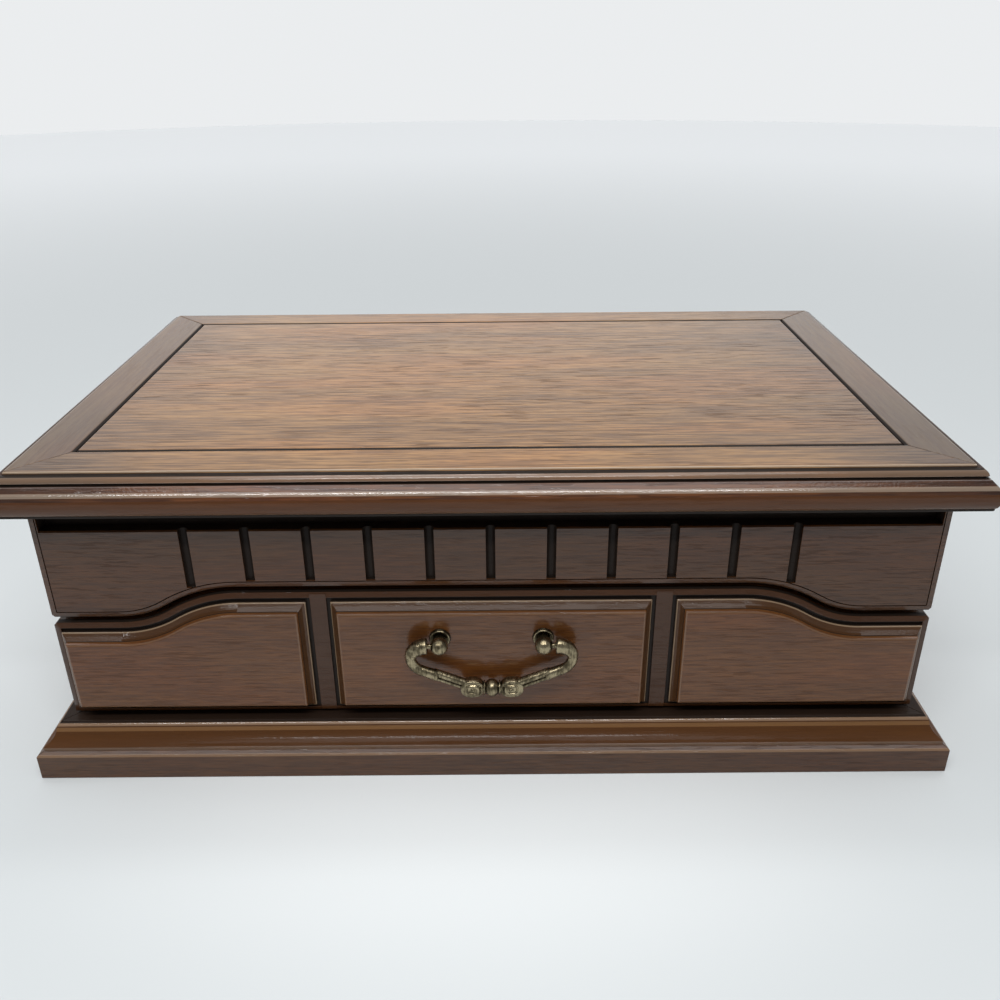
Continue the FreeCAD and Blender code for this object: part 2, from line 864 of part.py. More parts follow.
def drawer_side_box(slack=0.0):
    """The right-hand drawer side, housed in the front, or the room for it."""
    return block(
        drawer_half_width - drawer_side_thickness - slack, drawer_half_width + slack,
        drawer_inner_y - drawer_front_housing - slack, drawer_rear_y,
        drawer_box_z - slack, drawer_side_top + slack,
    )


def drawer_bottom_box(reach, slack=0.0):
    """The drawer bottom, reaching into its grooves, or the grooves themselves."""
    x = drawer_half_width - drawer_side_thickness + reach
    return block(
        -x, x,
        drawer_inner_y - reach, drawer_rear_y - drawer_back_thickness + reach,
        drawer_bottom_z - slack, drawer_bottom_top + slack,
    )


def build_drawer_front():
    board = board_with_edge(drawer_front_wire, drawer_front_thickness, drawer_edge_width, drawer_edge_depth)
    post_top = wave_high_height - wave_gap - post_top_ease
    post = block(
        post_inner_x, post_inner_x + post_width,
        front_y, front_y + drawer_front_thickness,
        drawer_z + post_top_ease, post_top,
    )
    board = join([board, post, flipped(post)])
    seat = panel_seat_depth
    inward = Vector(0, -2 * seat, 0)
    centre_pocket = extruded(centre_panel_wire(-panel_groove_width, front_y + seat), inward)
    side_pocket = extruded(side_panel_wire(-panel_groove_width, front_y + seat), inward)
    side_pocket = side_pocket.common(block(0, side_panel_end, front_y - seat, front_y + seat, 0, case_top))
    pockets = [centre_pocket, side_pocket, flipped(side_pocket)]
    board = cut_all(board, pockets + pull_holes())
    housing = drawer_side_box(board_fit)
    board = cut_all(board, [housing, flipped(housing), drawer_bottom_box(board_groove, board_fit)])
    write("drawer_front", board)
    side_panel = raised_panel(side_panel_wire)
    write("drawer_panel_right", side_panel)
    write("drawer_panel_left", flipped(side_panel))
    write("drawer_panel_centre", cut_all(raised_panel(centre_panel_wire), pull_holes()))


def build_drawer_box():
    groove = drawer_bottom_box(board_groove, board_fit)
    side = drawer_side_box().cut(groove)
    write("drawer_side_right", side)
    write("drawer_side_left", flipped(side))
    x = drawer_half_width - drawer_side_thickness
    back = block(-x, x, drawer_rear_y - drawer_back_thickness, drawer_rear_y, drawer_box_z, drawer_side_top)
    write("drawer_back", back.cut(groove))
    write("drawer_bottom", drawer_bottom_box(board_groove - board_fit))
    pad = block(
        -x + drawer_pad_clearance, x - drawer_pad_clearance,
        drawer_inner_y + drawer_pad_clearance, drawer_rear_y - drawer_back_thickness - drawer_pad_clearance,
        drawer_bottom_top, drawer_bottom_top + drawer_pad_thickness,
    )
    write("drawer_felt_pad", pad)


def turned_ball(middle, radius):
    """A ball turned about the axis that points to the front, in straight steps from pole to pole."""
    moves = []
    for step in range(1, head_steps + 1):
        angle = math.pi * step / head_steps
        moves.append(((-radius * math.cos(angle), radius * math.sin(angle)),))
    moves.append(((-radius, 0),))
    outline = closed_wire((-radius, 0), moves, lambda point: middle + Vector(point[1], point[0], 0))
    return Part.Face(outline).revolve(middle, Vector(0, 1, 0), 360)


def build_pull_fittings():
    """Collars, ball-headed posts, washers and nuts."""
    outward = Vector(0, -1, 0)
    washer_y = drawer_inner_y + washer_thickness
    nut_y = washer_y + nut_thickness
    washers = []
    nuts = []
    for x, side in zip(pull_places(), ["left", "right"]):
        base = Vector(x, panel_face_y, pull_height)
        disc = Part.makeCone(collar_radius, collar_radius - collar_rim, collar_thickness, base, outward)
        hole = rod(base, outward, shank_radius + shank_clearance, collar_thickness)
        write("pull_collar_" + side, disc.cut(hole))
        head = turned_ball(Vector(x, head_y, pull_height), head_radius)
        tail = Vector(x, nut_y + shank_beyond_nut, pull_height)
        shank = rod(tail, outward, shank_radius, tail.y - head_y)
        shoulder = Vector(x, panel_face_y - collar_thickness, pull_height)
        neck = rod(shoulder, outward, neck_radius, shoulder.y - head_y)
        post = join([head, neck, shank])
        outer = 1 if side == "right" else -1
        mouth = Vector(x + outer * head_radius, head_y, pull_height)
        inward = Vector(-outer, 0, 0)
        bore = rod(mouth, inward, bail_pin_radius + bail_pin_clearance, bail_pin_depth + bail_pin_clearance)
        write("pull_post_" + side, post.cut(bore))
        inside = Vector(x, drawer_inner_y, pull_height)
        washer = rod(inside, Vector(0, 1, 0), washer_radius, washer_thickness)
        hole = rod(inside, Vector(0, 1, 0), shank_radius + shank_clearance, washer_thickness)
        washers.append(washer.cut(hole))
        nuts.append(hex_nut(x, washer_y))
    write("pull_washers", Part.makeCompound(washers))
    write("pull_nuts", Part.makeCompound(nuts))


def hex_nut(x, y):
    """A six-sided nut standing on its washer."""
    corner = nut_across_flats / math.sqrt(3)
    sides = 6
    points = []
    for i in range(sides + 1):
        angle = 2 * math.pi * i / sides
        points.append(Vector(x + corner * math.cos(angle), y, pull_height + corner * math.sin(angle)))
    body = extruded(Part.makePolygon(points), Vector(0, nut_thickness, 0))
    hole = rod(Vector(x, y, pull_height), Vector(0, 1, 0), shank_radius + shank_clearance, nut_thickness)
    return body.cut(hole)


def bail_point(x, drop):
    """A place in the plane of the hanging bail."""
    return Vector(x, head_y, pull_height - drop)


def bail_ring(x, drop, dip, radius):
    """A circle square to a run that dips by an angle, its seam always towards the front."""
    circle = Part.makeCircle(radius, Vector(0, 0, 0), Vector(1, 0, 0))
    circle.rotate(Vector(0, 0, 0), Vector(0, 1, 0), dip)
    circle.translate(bail_point(x, drop))
    return Part.Wire(circle)


def elbow_end():
    """Where the right-hand arm leaves the elbow, and how far the elbow turns from straight down."""
    turn = math.radians(90 - bail_arm_slope)
    middle_x = bail_half_width - bail_side_radius - bail_elbow_radius
    x = middle_x + bail_elbow_radius * math.cos(turn)
    drop = bail_side_drop + bail_elbow_radius * math.sin(turn)
    return x, drop, turn


def along_arm(distance):
    """A place on the straight arm, measured from the elbow towards the middle of the bail."""
    x, drop, _ = elbow_end()
    slope = math.radians(bail_arm_slope)
    return x - distance * math.cos(slope), drop + distance * math.sin(slope)


def bail_side():
    """The right-hand side of the bail: a wide ear that narrows round the bend and the elbow."""
    ear_x = pull_centres / 2 + head_radius + bail_ear_gap
    side_x = bail_half_width - bail_side_radius
    bend = side_x - ear_x
    rings = []
    for step in range(bail_bend_steps + 1):
        turn = math.radians(90) * step / bail_bend_steps
        share = math.sin(turn / 2) ** 2 * 2
        radius = bail_ear_radius + (bail_side_radius - bail_ear_radius) * share
        drop = bail_side_drop * (1 - math.cos(turn))
        dip = math.degrees(math.atan2(bail_side_drop * math.sin(turn), bend * math.cos(turn)))
        rings.append(bail_ring(ear_x + bend * math.sin(turn), drop, dip, radius))
    _, _, turn = elbow_end()
    middle_x = side_x - bail_elbow_radius
    for step in range(1, bail_elbow_steps + 1):
        angle = turn * step / bail_elbow_steps
        x = middle_x + bail_elbow_radius * math.cos(angle)
        drop = bail_side_drop + bail_elbow_radius * math.sin(angle)
        rings.append(bail_ring(x, drop, 90 + math.degrees(angle), bail_side_radius))
    return Part.makeLoft(rings, True, True)


def bail_sleeve():
    """The plain sleeve at the top of the right-hand arm, from which the reeds come."""
    slope = math.radians(bail_arm_slope)
    inward = Vector(-math.cos(slope), 0, -math.sin(slope))
    return rod(bail_point(*along_arm(0)), inward, bail_sleeve_radius, bail_sleeve_length)


def bail_reeds():
    """The two parallel reeds of the right-hand arm, from inside the sleeve to inside the scroll."""
    start = bail_point(*along_arm(bail_sleeve_length - bail_sleeve_radius))
    end = bail_point(scroll_x + scroll_radius / 2, along_arm(0)[1])
    slope = math.radians(bail_arm_slope)
    inward = Vector(-math.cos(slope), 0, -math.sin(slope))
    square = Vector(-math.sin(slope), 0, math.cos(slope))
    length = (start.x - end.x) / math.cos(slope)
    upper = rod(start + square * (reed_spacing / 2), inward, reed_upper_radius, length)
    lower = rod(start - square * (reed_spacing / 2), inward, reed_lower_radius, length)
    return upper.fuse(lower)


def crowned_disc(middle, radius):
    """A disc facing the front, flat behind, its front rim eased."""
    outward = Vector(0, -1, 0)
    back = middle + Vector(0, scroll_thickness / 2, 0)
    flank = scroll_thickness - scroll_crown
    rim = Part.makeCone(radius, radius - scroll_crown, scroll_crown, back + outward * flank, outward)
    return rod(back, outward, radius, flank).fuse(rim)


def scroll_block():
    """A round scroll with a smaller tail, flat-sided, with a sunk rosette on its front."""
    front = Vector(0, -scroll_thickness / 2, 0)
    inward = Vector(0, 1, 0)
    middle = bail_point(scroll_x, bail_drop)
    tail = bail_point(scroll_tail_x, bail_drop - scroll_tail_lift)
    body = crowned_disc(middle, scroll_radius).fuse(crowned_disc(tail, scroll_tail_radius))
    sunk = rod(middle + front, inward, rosette_radius, rosette_depth)
    pip = rod(middle + front, inward, rosette_pip_radius, rosette_depth)
    return body.cut(sunk.cut(pip))


def centre_bead():
    """The barrel-shaped bead at the bottom of the bail, with a small collar at each end."""
    half = centre_bead_width / 2
    swell = centre_bead_radius - bead_collar_radius
    moves = [((half, 0),)]
    for step in range(centre_bead_steps + 1):
        along = 1 - 2 * step / centre_bead_steps
        moves.append(((half * along, bead_collar_radius + swell * (1 - along * along)),))
    moves.append(((-half, 0),))
    outline = closed_wire((-half, 0), moves, lambda point: bail_point(point[0], bail_drop - point[1]))
    barrel = Part.Face(outline).revolve(bail_point(0, bail_drop), Vector(1, 0, 0), 360)
    reach = scroll_x - scroll_radius / 2
    core = rod(bail_point(-reach, bail_drop), Vector(1, 0, 0), bead_collar_radius, 2 * reach)
    return barrel.fuse(core)


def build_bail():
    """The bail: its two pins, ears, reeded arms, scrolls and centre bead, cast in one piece."""
    inner_end = pull_centres / 2 + head_radius - bail_pin_depth
    ear_x = pull_centres / 2 + head_radius + bail_ear_gap
    pin = rod(bail_point(inner_end, 0), Vector(1, 0, 0), bail_pin_radius, ear_x - inner_end)
    half = [pin, bail_side(), bail_sleeve(), bail_reeds(), scroll_block()]
    pieces = [centre_bead()] + half + [flipped(piece) for piece in half]
    write("bail_handle", join(pieces))


def main():
    os.makedirs("parts", exist_ok=True)
    build_base()
    build_case_walls()
    build_fluted_front()
    build_kickers()
    build_compartment()
    build_lid()
    build_mirror()
    build_hinges()
    build_drawer_front()
    build_drawer_box()
    build_pull_fittings()
    build_bail()


main()
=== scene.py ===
import json
import math
import bpy
import numpy as np
from bpy.props import FloatProperty, FloatVectorProperty, PointerProperty
from mathutils import Matrix, Vector


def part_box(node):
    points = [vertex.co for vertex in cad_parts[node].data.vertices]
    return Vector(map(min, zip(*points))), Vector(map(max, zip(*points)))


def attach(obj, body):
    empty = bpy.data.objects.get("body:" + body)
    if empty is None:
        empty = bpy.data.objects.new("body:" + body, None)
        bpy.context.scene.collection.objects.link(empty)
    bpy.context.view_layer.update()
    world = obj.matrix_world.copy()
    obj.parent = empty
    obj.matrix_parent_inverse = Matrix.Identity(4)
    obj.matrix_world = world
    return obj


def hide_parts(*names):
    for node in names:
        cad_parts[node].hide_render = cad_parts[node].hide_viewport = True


bl_info = {
    "name": "Jewellery Box",
    "version": (1, 0, 0),
    "blender": (4, 5, 0),
    "location": "3D View > Sidebar > Jewellery Box",
    "description": "Finishes and soft fittings of a wooden jewellery box with a lift-up lid and a drawer",
    "category": "Object",
}

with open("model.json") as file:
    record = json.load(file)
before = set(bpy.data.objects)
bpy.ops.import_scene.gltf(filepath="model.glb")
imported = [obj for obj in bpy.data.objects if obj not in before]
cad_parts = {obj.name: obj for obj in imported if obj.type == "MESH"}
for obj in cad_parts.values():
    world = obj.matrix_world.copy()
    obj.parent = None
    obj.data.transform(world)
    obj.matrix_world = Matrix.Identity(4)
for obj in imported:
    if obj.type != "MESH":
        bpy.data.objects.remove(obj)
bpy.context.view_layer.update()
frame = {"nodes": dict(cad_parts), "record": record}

# Groups of framed pieces that share a finish
CASE_DEEP = ["case_side_left", "case_side_right"]
DRAWER_PANELS = ["drawer_panel_left", "drawer_panel_centre", "drawer_panel_right"]
BASE_ACROSS = ["base_front", "base_back"]
BASE_DEEP = ["base_left", "base_right"]
LID_ACROSS = ["lid_rail_front", "lid_rail_back"]
LID_DEEP = ["lid_rail_left", "lid_rail_right"]
MIRROR_BEADS_ACROSS = ["mirror_bead_front", "mirror_bead_back"]
MIRROR_BEADS_DEEP = ["mirror_bead_left", "mirror_bead_right"]
BOARDS_ACROSS = ["bottom_board", "compartment_floor", "drawer_back", "drawer_bottom"]
BOARDS_DEEP = ["drawer_side_left", "drawer_side_right", "drawer_kicker_left", "drawer_kicker_right"]
DIVIDERS = ["divider_long", "divider_ring_cell", "divider_back_left", "divider_back_right"]
COLLARS = ["pull_collar_left", "pull_collar_right"]
HINGE_BRASS = ["case_hinge_screws", "lid_hinge_screws"]
for part in ("case_leaf", "lid_leaf", "pin"):
    HINGE_BRASS += ["hinge_left_" + part, "hinge_right_" + part]
PULL_FASTENERS = ["pull_washers", "pull_nuts"]

# Planes and edges of the framed pieces that the finishes follow
MM = 0.001
HALF_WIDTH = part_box("case_side_right")[1][0]
FRONT_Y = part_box("fluted_front")[0][1]
PANEL_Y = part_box("drawer_panel_centre")[0][1]
LID_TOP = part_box("lid_rail_front")[1][2]
LID_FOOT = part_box("lid_rail_front")[0][2]
LID_REACH_Y = -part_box("lid_rail_front")[0][1]
LID_REACH_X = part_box("lid_rail_right")[1][0]
BASE_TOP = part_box("base_front")[1][2]

# Widths of the lid's moulding, measured inwards from its outermost line
MOULDING_WIDTH = 9.7 * MM
ARRIS_WIDTH = 7.85 * MM
GROOVE_INSET = 18.7 * MM


# Settings that a user would change

def colour_setting(name, description, default):
    """A colour that the user can change."""
    return FloatVectorProperty(
        name=name, description=description, subtype="COLOR", size=3, min=0.0, max=1.0, default=default)


def length_setting(name, description, default, low, high):
    """A length in metres that the user can change."""
    return FloatProperty(
        name=name, description=description, unit="LENGTH", subtype="DISTANCE",
        min=low, max=high, default=default)


def angle_setting(name, description, degrees):
    """An angle that the user can change."""
    return FloatProperty(
        name=name, description=description, unit="ROTATION", subtype="ANGLE", default=math.radians(degrees))


def number_setting(name, description, default, high, low=0.0):
    """A plain number that the user can change."""
    return FloatProperty(name=name, description=description, min=low, max=high, default=default)


class WoodSettings(bpy.types.PropertyGroup):
    """Colours and eased edges of the stained and lacquered wood."""
    stain_dark: colour_setting("Dark grain", "Stain in the late wood of the front", (0.080, 0.026, 0.005))
    stain_light: colour_setting("Light grain", "Stain in the early wood of the front", (0.142, 0.051, 0.010))
    lid_dark: colour_setting("Lid dark grain", "Stain in the late wood of the lid", (0.120, 0.050, 0.014))
    lid_light: colour_setting("Lid light grain", "Stain in the early wood of the lid", (0.405, 0.208, 0.066))
    # The black stain also paints shade: grooves, flutes, quirks, housings, the lid's foot and the base's top
    # beside the case are black where shade falls.
    black_stain_and_shade: colour_setting("Black stain", "Stain in grooves, flutes and hollows", (0.018, 0.012, 0.009))
    # Lighter edge colour: wear on the arrises, and painted highlight where the light catches them.
    wear_and_highlight: colour_setting("Rubbed edge", "Lighter wood on a rubbed-through edge", (0.260, 0.160, 0.095))
    board_dark: colour_setting("Board dark", "Grain of the unstained inner boards", (0.210, 0.120, 0.060))
    board_light: colour_setting("Board light", "Ground of the unstained inner boards", (0.340, 0.215, 0.125))
    edge_ease: length_setting("Eased edge", "Rounding of the sharp wooden edges", 0.00025, 0.0, 0.001)


class MetalSettings(bpy.types.PropertyGroup):
    """Colours of the brass and steel fittings."""
    brass_raised: colour_setting("Rubbed brass", "Brass on the pull's raised parts", (0.345, 0.290, 0.185))
    brass_hollow: colour_setting("Dark patina", "Patina in the hollows of the pull", (0.030, 0.022, 0.010))
    hinge_brass: colour_setting("Hinge brass", "Plated brass of the hinges", (0.560, 0.400, 0.150))
    zinc: colour_setting("Zinc", "Plating of the nuts and washers", (0.550, 0.550, 0.540))


class LiningSettings(bpy.types.PropertyGroup):
    """Sizes and colour of the velvet lining and pads."""
    velvet: colour_setting("Velvet", "Colour of the pile", (0.170, 0.020, 0.030))
    corner_radius: length_setting("Corner radius", "Inside corners of the lining", 0.004, 0.001, 0.01)
    cove_radius: length_setting("Cove radius", "Round between walls and floor", 0.0020, 0.0005, 0.004)
    roll_gap: length_setting("Roll gap", "Slot between two rolls of the ring cushion", 0.0005, 0.0, 0.002)


class StageSettings(bpy.types.PropertyGroup):
    """Camera, floor and lights."""
    camera_place: FloatVectorProperty(
        name="Camera place", description="Where the camera stands",
        unit="LENGTH", subtype="XYZ", size=3, default=(0.0039, -0.3920, 0.2578))
    camera_pitch: angle_setting("Camera pitch", "How far the camera looks down", 26.16)
    camera_yaw: angle_setting("Camera yaw", "How far the camera looks to the right", -0.07)
    camera_roll: angle_setting("Camera roll", "How far the camera leans", 0.50)
    camera_lens: number_setting("Camera lens", "Focal length on a 36 mm frame, in mm", 34.08, 200.0, 10.0)
    # The floor close under the box is painted lighter, as painted light against the box's shadow.
    floor_under: colour_setting("Floor under", "Pale floor close to the box", (0.880, 0.912, 0.922))
    floor_near: colour_setting("Floor near", "Pale floor round the box", (0.635, 0.668, 0.680))
    floor_far: colour_setting("Floor far", "Pale floor at its rim", (0.940, 0.965, 0.985))
    sky_colour: colour_setting("Studio", "Tint of the white studio", (0.965, 0.985, 1.0))
    sky_back: number_setting("Back wall", "Brightness of the studio's back wall", 0.86, 4.0)
    sky_front: number_setting("Open front", "Brightness of the room behind the camera", 0.30, 4.0)
    sky_top: number_setting("Ceiling share", "Brightness overhead as a share of the walls'", 0.45, 1.0)
    ceiling_strength: number_setting("Ceiling light", "Strength of the wide light overhead", 1.55, 20.0)
    front_strip: number_setting("Front strip", "Watts of the lamp strip above the front", 4.3, 400.0)
    top_strip: number_setting("Top strip", "Watts of the short lamp strip above the lid", 0.2, 400.0)


# Mesh building

def ring_faces(rings, around):
    """Quads between rings of points, each ring joined round on itself."""
    i, j = np.meshgrid(np.arange(rings - 1), np.arange(around), indexing="ij")
    next_j = (j + 1) % around
    low = i * around
    high = low + around
    return np.stack([low + j, high + j, high + next_j, low + next_j], -1).reshape(-1, 4)


def cap_faces(ring, centre):
    """Triangles from a closed ring of point numbers to one centre point."""
    return np.stack([ring, np.roll(ring, -1), np.full(len(ring), centre)], -1)


def tube_parts(points):
    """Points and faces of a closed skin: rings of points along a body, with a fan at either end."""
    rings, around = points.shape[:2]
    centres = np.stack([points[0].mean(0), points[-1].mean(0)])
    start = np.arange(around)
    end = start + (rings - 1) * around
    low = cap_faces(start[::-1], rings * around)
    high = cap_faces(end, rings * around + 1)
    return np.vstack([points.reshape(-1, 3), centres]), [ring_faces(rings, around), low, high]


def skin_volume(points, faces):
    """Signed volume inside a closed skin of polygons, as the sum of its corner tetrahedra."""
    total = 0.0
    for part in faces:
        for k in range(1, part.shape[1] - 1):
            a, b, c = points[part[:, 0]], points[part[:, k]], points[part[:, k + 1]]
            total += np.einsum("ij,ij->", a, np.cross(b, c))
    return total


def closed_object(name, skins, material):
    """One object from closed skins given as rings of points, every skin turned to face outwards."""
    points = []
    faces = []
    first = 0
    for rings in skins:
        skin_points, skin_faces = tube_parts(np.asarray(rings, float))
        if skin_volume(skin_points, skin_faces) < 0:
            skin_faces = [part[:, ::-1] for part in skin_faces]
        points.append(skin_points)
        faces += [part + first for part in skin_faces]
        first += len(skin_points)
    mesh = bpy.data.meshes.new(name)
    mesh.from_pydata(np.vstack(points).tolist(), [], [face for part in faces for face in part.tolist()])
    mesh.polygons.foreach_set("use_smooth", np.full(len(mesh.polygons), True))
    mesh.update()
    mesh.materials.append(material)
    obj = bpy.data.objects.new(name, mesh)
    bpy.context.collection.objects.link(obj)
    return obj


def node(name):
    """The framed piece of that name."""
    return frame["nodes"][name]


def dress(names, *finishes):
    """Give framed pieces a finish, and a second one for the eased edges where there is one."""
    for name in names:
        piece = node(name)
        piece.data.materials.clear()
        for finish in finishes:
            piece.data.materials.append(finish)


def ease_edges(names, width, segments=2, clamp=False, sharpest=40):
    """Round the sharp edges of framed pieces, as sanding does, and give them the last finish."""
    for name in names:
        piece = node(name)
        weld = piece.modifiers.new("Join faces", "WELD")
        weld.merge_threshold = 1e-6
        flat = piece.modifiers.new("Flat faces", "DECIMATE")
        flat.decimate_type = "DISSOLVE"
        flat.angle_limit = math.radians(0.5)
        bevel = piece.modifiers.new("Eased edges", "BEVEL")
        bevel.width = width
        bevel.segments = segments
        bevel.limit_method = "ANGLE"
        bevel.angle_limit = math.radians(sharpest)
        bevel.use_clamp_overlap = clamp
        bevel.material = len(piece.data.materials) - 1


# Material building

# How much the lacquer is dulled in black zones, which are mostly painted shade.
BLACK_DULLING = 0.9
BLACKEST = 0.02
FRONT_FINISH = {"grain": 2.0, "pores": 0.5, "coat": 0.72}
BOARD_FINISH = {"pores": 0.4, "coat": 0.3, "coat_roughness": 0.4}
LID_GRAIN = 1.3

# Which way the grain of a piece runs
ALONG_X = 0
ALONG_Y = 1

# Noise scales of the wood per metre, across the grain and along it
FIGURE = (45.0, 3.0)
STREAKS = (620.0, 30.0)
PORES = (760.0, 48.0)
FIBRE = (2200.0, 160.0)
WARMTH = (45.0, 9.0)
PORE_DEPTH = (26.0, 8.0)
RIPPLE = (1100.0, 1100.0, 1100.0)


def smooth_step(tree, factor, low, high, start, end):
    """A node that maps a factor between two marks to a start and an end value, held beyond them."""
    made = tree.nodes.new("ShaderNodeMapRange")
    made.interpolation_type = "SMOOTHSTEP"
    tree.links.new(factor, made.inputs["Value"])
    for key, value in (("From Min", low), ("From Max", high), ("To Min", start), ("To Max", end)):
        made.inputs[key].default_value = value
    return made.outputs[0]


class Recipe:
    """A new material with short calls for its nodes."""

    def __init__(self, name):
        self.material = bpy.data.materials.new(name)
        self.material.use_nodes = True
        self.tree = self.material.node_tree
        self.shader = self.tree.nodes["Principled BSDF"]

    def add(self, kind, **inputs):
        """A node of that kind, its inputs joined to other sockets or set to values."""
        made = self.tree.nodes.new(kind)
        for key, value in inputs.items():
            self.put(made.inputs[key.replace("_", " ")], value)
        return made

    def put(self, socket, value):
        """Join a socket to another one, or set its value."""
        if isinstance(value, bpy.types.NodeSocket):
            self.tree.links.new(value, socket)
        else:
            socket.default_value = value

    def place(self, scale):
        """The piece's own coordinates, stretched by a scale per metre."""
        where = self.add("ShaderNodeTexCoord").outputs["Object"]
        return self.add("ShaderNodeMapping", Vector=where, Scale=scale).outputs[0]

    def noise(self, scale, detail=2.0, roughness=0.5, distortion=0.0):
        """Soft noise with a scale for each direction."""
        made = self.add(
            "ShaderNodeTexNoise", Vector=self.place(scale), Scale=1.0,
            Detail=detail, Roughness=roughness, Distortion=distortion)
        return made.outputs[0]

    def ramp(self, factor, low, high, start=0.0, end=1.0):
        """Map a factor between two marks to a start and an end value, held beyond them."""
        return smooth_step(self.tree, factor, low, high, start, end)

    def mix(self, factor, first, second, blend="MIX"):
        """Two colours mixed by a factor."""
        made = self.tree.nodes.new("ShaderNodeMix")
        made.data_type = "RGBA"
        made.blend_type = blend
        self.put(made.inputs[0], factor)
        self.put(made.inputs[6], first)
        self.put(made.inputs[7], second)
        return made.outputs[2]

    def maths(self, operation, first, second):
        """A sum, product or other operation on two values; MULTIPLY_ADD adds 1 to the product."""
        made = self.tree.nodes.new("ShaderNodeMath")
        made.operation = operation
        self.put(made.inputs[0], first)
        self.put(made.inputs[1], second)
        made.inputs[2].default_value = 1.0
        return made.outputs[0]

    def coordinate(self, axis):
        """One of the piece's own coordinates, in metres."""
        if not hasattr(self, "axes"):
            where = self.add("ShaderNodeTexCoord").outputs["Object"]
            self.axes = self.add("ShaderNodeSeparateXYZ", Vector=where).outputs
        return self.axes["xyz".index(axis)]

    def within(self, value, low, high, soft):
        """1 where a value lies between two marks and 0 beyond them; a mark of None is open."""
        if low is None:
            return self.ramp(value, high - soft, high + soft, 1.0, 0.0)
        if high is None:
            return self.ramp(value, low - soft, low + soft)
        rise = self.ramp(value, low - soft, low + soft)
        return self.maths("MULTIPLY", rise, self.ramp(value, high - soft, high + soft, 1.0, 0.0))

    def zone(self, ranges, soft=0.00006):
        """1 inside a box of ranges, each a coordinate with its low and high mark.

        The coordinate "far_x" or "far_y" is the distance from the middle, to either side.
        """
        mask = 1.0
        for name, low, high in ranges:
            value = self.coordinate(name[-1])
            if name.startswith("far"):
                value = self.maths("ABSOLUTE", value, 0.0)
            mask = self.maths("MULTIPLY", mask, self.within(value, low, high, soft))
        return mask

    def bump(self, height, distance, strength=1.0):
        """A bumped normal from a height."""
        return self.add("ShaderNodeBump", Height=height, Distance=distance, Strength=strength).outputs[0]

    def finish(self, **values):
        """Set the shader's own sockets."""
        for key, value in values.items():
            self.put(self.shader.inputs[key.replace("_", " ")], value)
        return self.material


def colour(value):
    """A colour setting as four numbers."""
    return (*value, 1.0)


def scaled(tint, share):
    """A colour made lighter or darker."""
    return [share * c for c in tint]


def stretched(scales, direction, grain=1.0):
    """A noise scale that is fine across the grain and long along it."""
    across, along = scales
    return tuple(grain * (along if axis == direction else across) for axis in range(3))


def grained_wood(name, dark, light, direction, zones=(), tone_and_shade=(), grain=1.0, pores=0.8, coat=1.0,
                 coat_roughness=0.14):
    """Stained wood under a clear coat.

    Broad figure and narrow streaks mix the two stains, short dark pores lie along the grain, patches
    turn the ground warmer, the toned regions darken softly, partly a darker tone and partly painted
    shade, and the zones lay a colour over the hollows and arrises of a moulding, much of it painted
    shade in the hollows and painted highlight on the arrises. A zone's fourth item is how much it dulls
    the lacquer.
    """
    made = Recipe(name)
    figure = made.noise(stretched(FIGURE, direction), detail=3.0, distortion=0.35)
    streaks = made.noise(stretched(STREAKS, direction, grain), detail=3.0, roughness=0.6)
    pore_noise = made.noise(stretched(PORES, direction, grain), detail=2.0, roughness=0.55)
    fibre = made.noise(stretched(FIBRE, direction), detail=1.0)
    warmth = made.noise(stretched(WARMTH, direction), detail=1.0)
    streaked = made.ramp(streaks, 0.38, 0.62, 0.0, 0.65)
    tone = made.maths("ADD", made.ramp(figure, 0.32, 0.68, 0.0, 0.45), streaked)
    ground = made.mix(tone, colour(dark), colour(light))
    warm = made.mix(1.0, ground, colour((1.10, 0.90, 0.72)), "MULTIPLY")
    ground = made.mix(made.ramp(warmth, 0.45, 0.68, 0.0, 0.6), ground, warm)
    ground = made.mix(made.ramp(fibre, 0.40, 0.66, 0.0, 0.25), ground, colour(scaled(dark, 0.6)))
    depth = made.ramp(made.noise(stretched(PORE_DEPTH, direction)), 0.34, 0.60, 0.45 * pores, pores)
    pore = made.maths("MULTIPLY", made.ramp(pore_noise, 0.565, 0.605), depth)
    base = made.mix(pore, ground, colour(scaled(dark, 0.8)))
    # Toned regions: a darker tone, and painted shade where the light falls off.
    for ranges, tint, soft in tone_and_shade:
        base = made.mix(made.zone(ranges, soft), base, colour(tint), "MULTIPLY")
    lacquer = made.maths("MULTIPLY", coat, made.maths("MULTIPLY_ADD", pore, -0.7))
    for ranges, tint, weight, *dulling in zones:
        mask = made.maths("MULTIPLY", made.zone(ranges), weight)
        base = made.mix(mask, base, colour(tint))
        # Black zones, mostly painted shade, lose most of their lacquer unless told otherwise.
        dull = dulling[0] if dulling else BLACK_DULLING if max(tint) < BLACKEST else 0.0
        if dull:
            lacquer = made.maths("MULTIPLY", lacquer, made.maths("MULTIPLY_ADD", mask, -dull))
    relief = made.bump(made.maths("ADD", fibre, made.maths("MULTIPLY", pore, -1.5)), 0.00006, 0.6)
    ripple = made.maths("ADD", made.noise(RIPPLE, detail=1.0), made.maths("MULTIPLY", pore, -0.7))
    return made.finish(
        Base_Color=base, Roughness=0.5, Normal=relief, Specular_IOR_Level=0.12, Coat_Weight=lacquer,
        Coat_Roughness=coat_roughness, Coat_IOR=1.6, Coat_Normal=made.bump(ripple, 0.00005, 0.8))


def behind(plane, near, far):
    """A range of depths, given as millimetres behind a plane."""
    return "y", plane + near * MM, plane + far * MM


def under(top, high, low):
    """A range of heights, given as millimetres under a top."""
    return "z", top - low * MM, top - high * MM


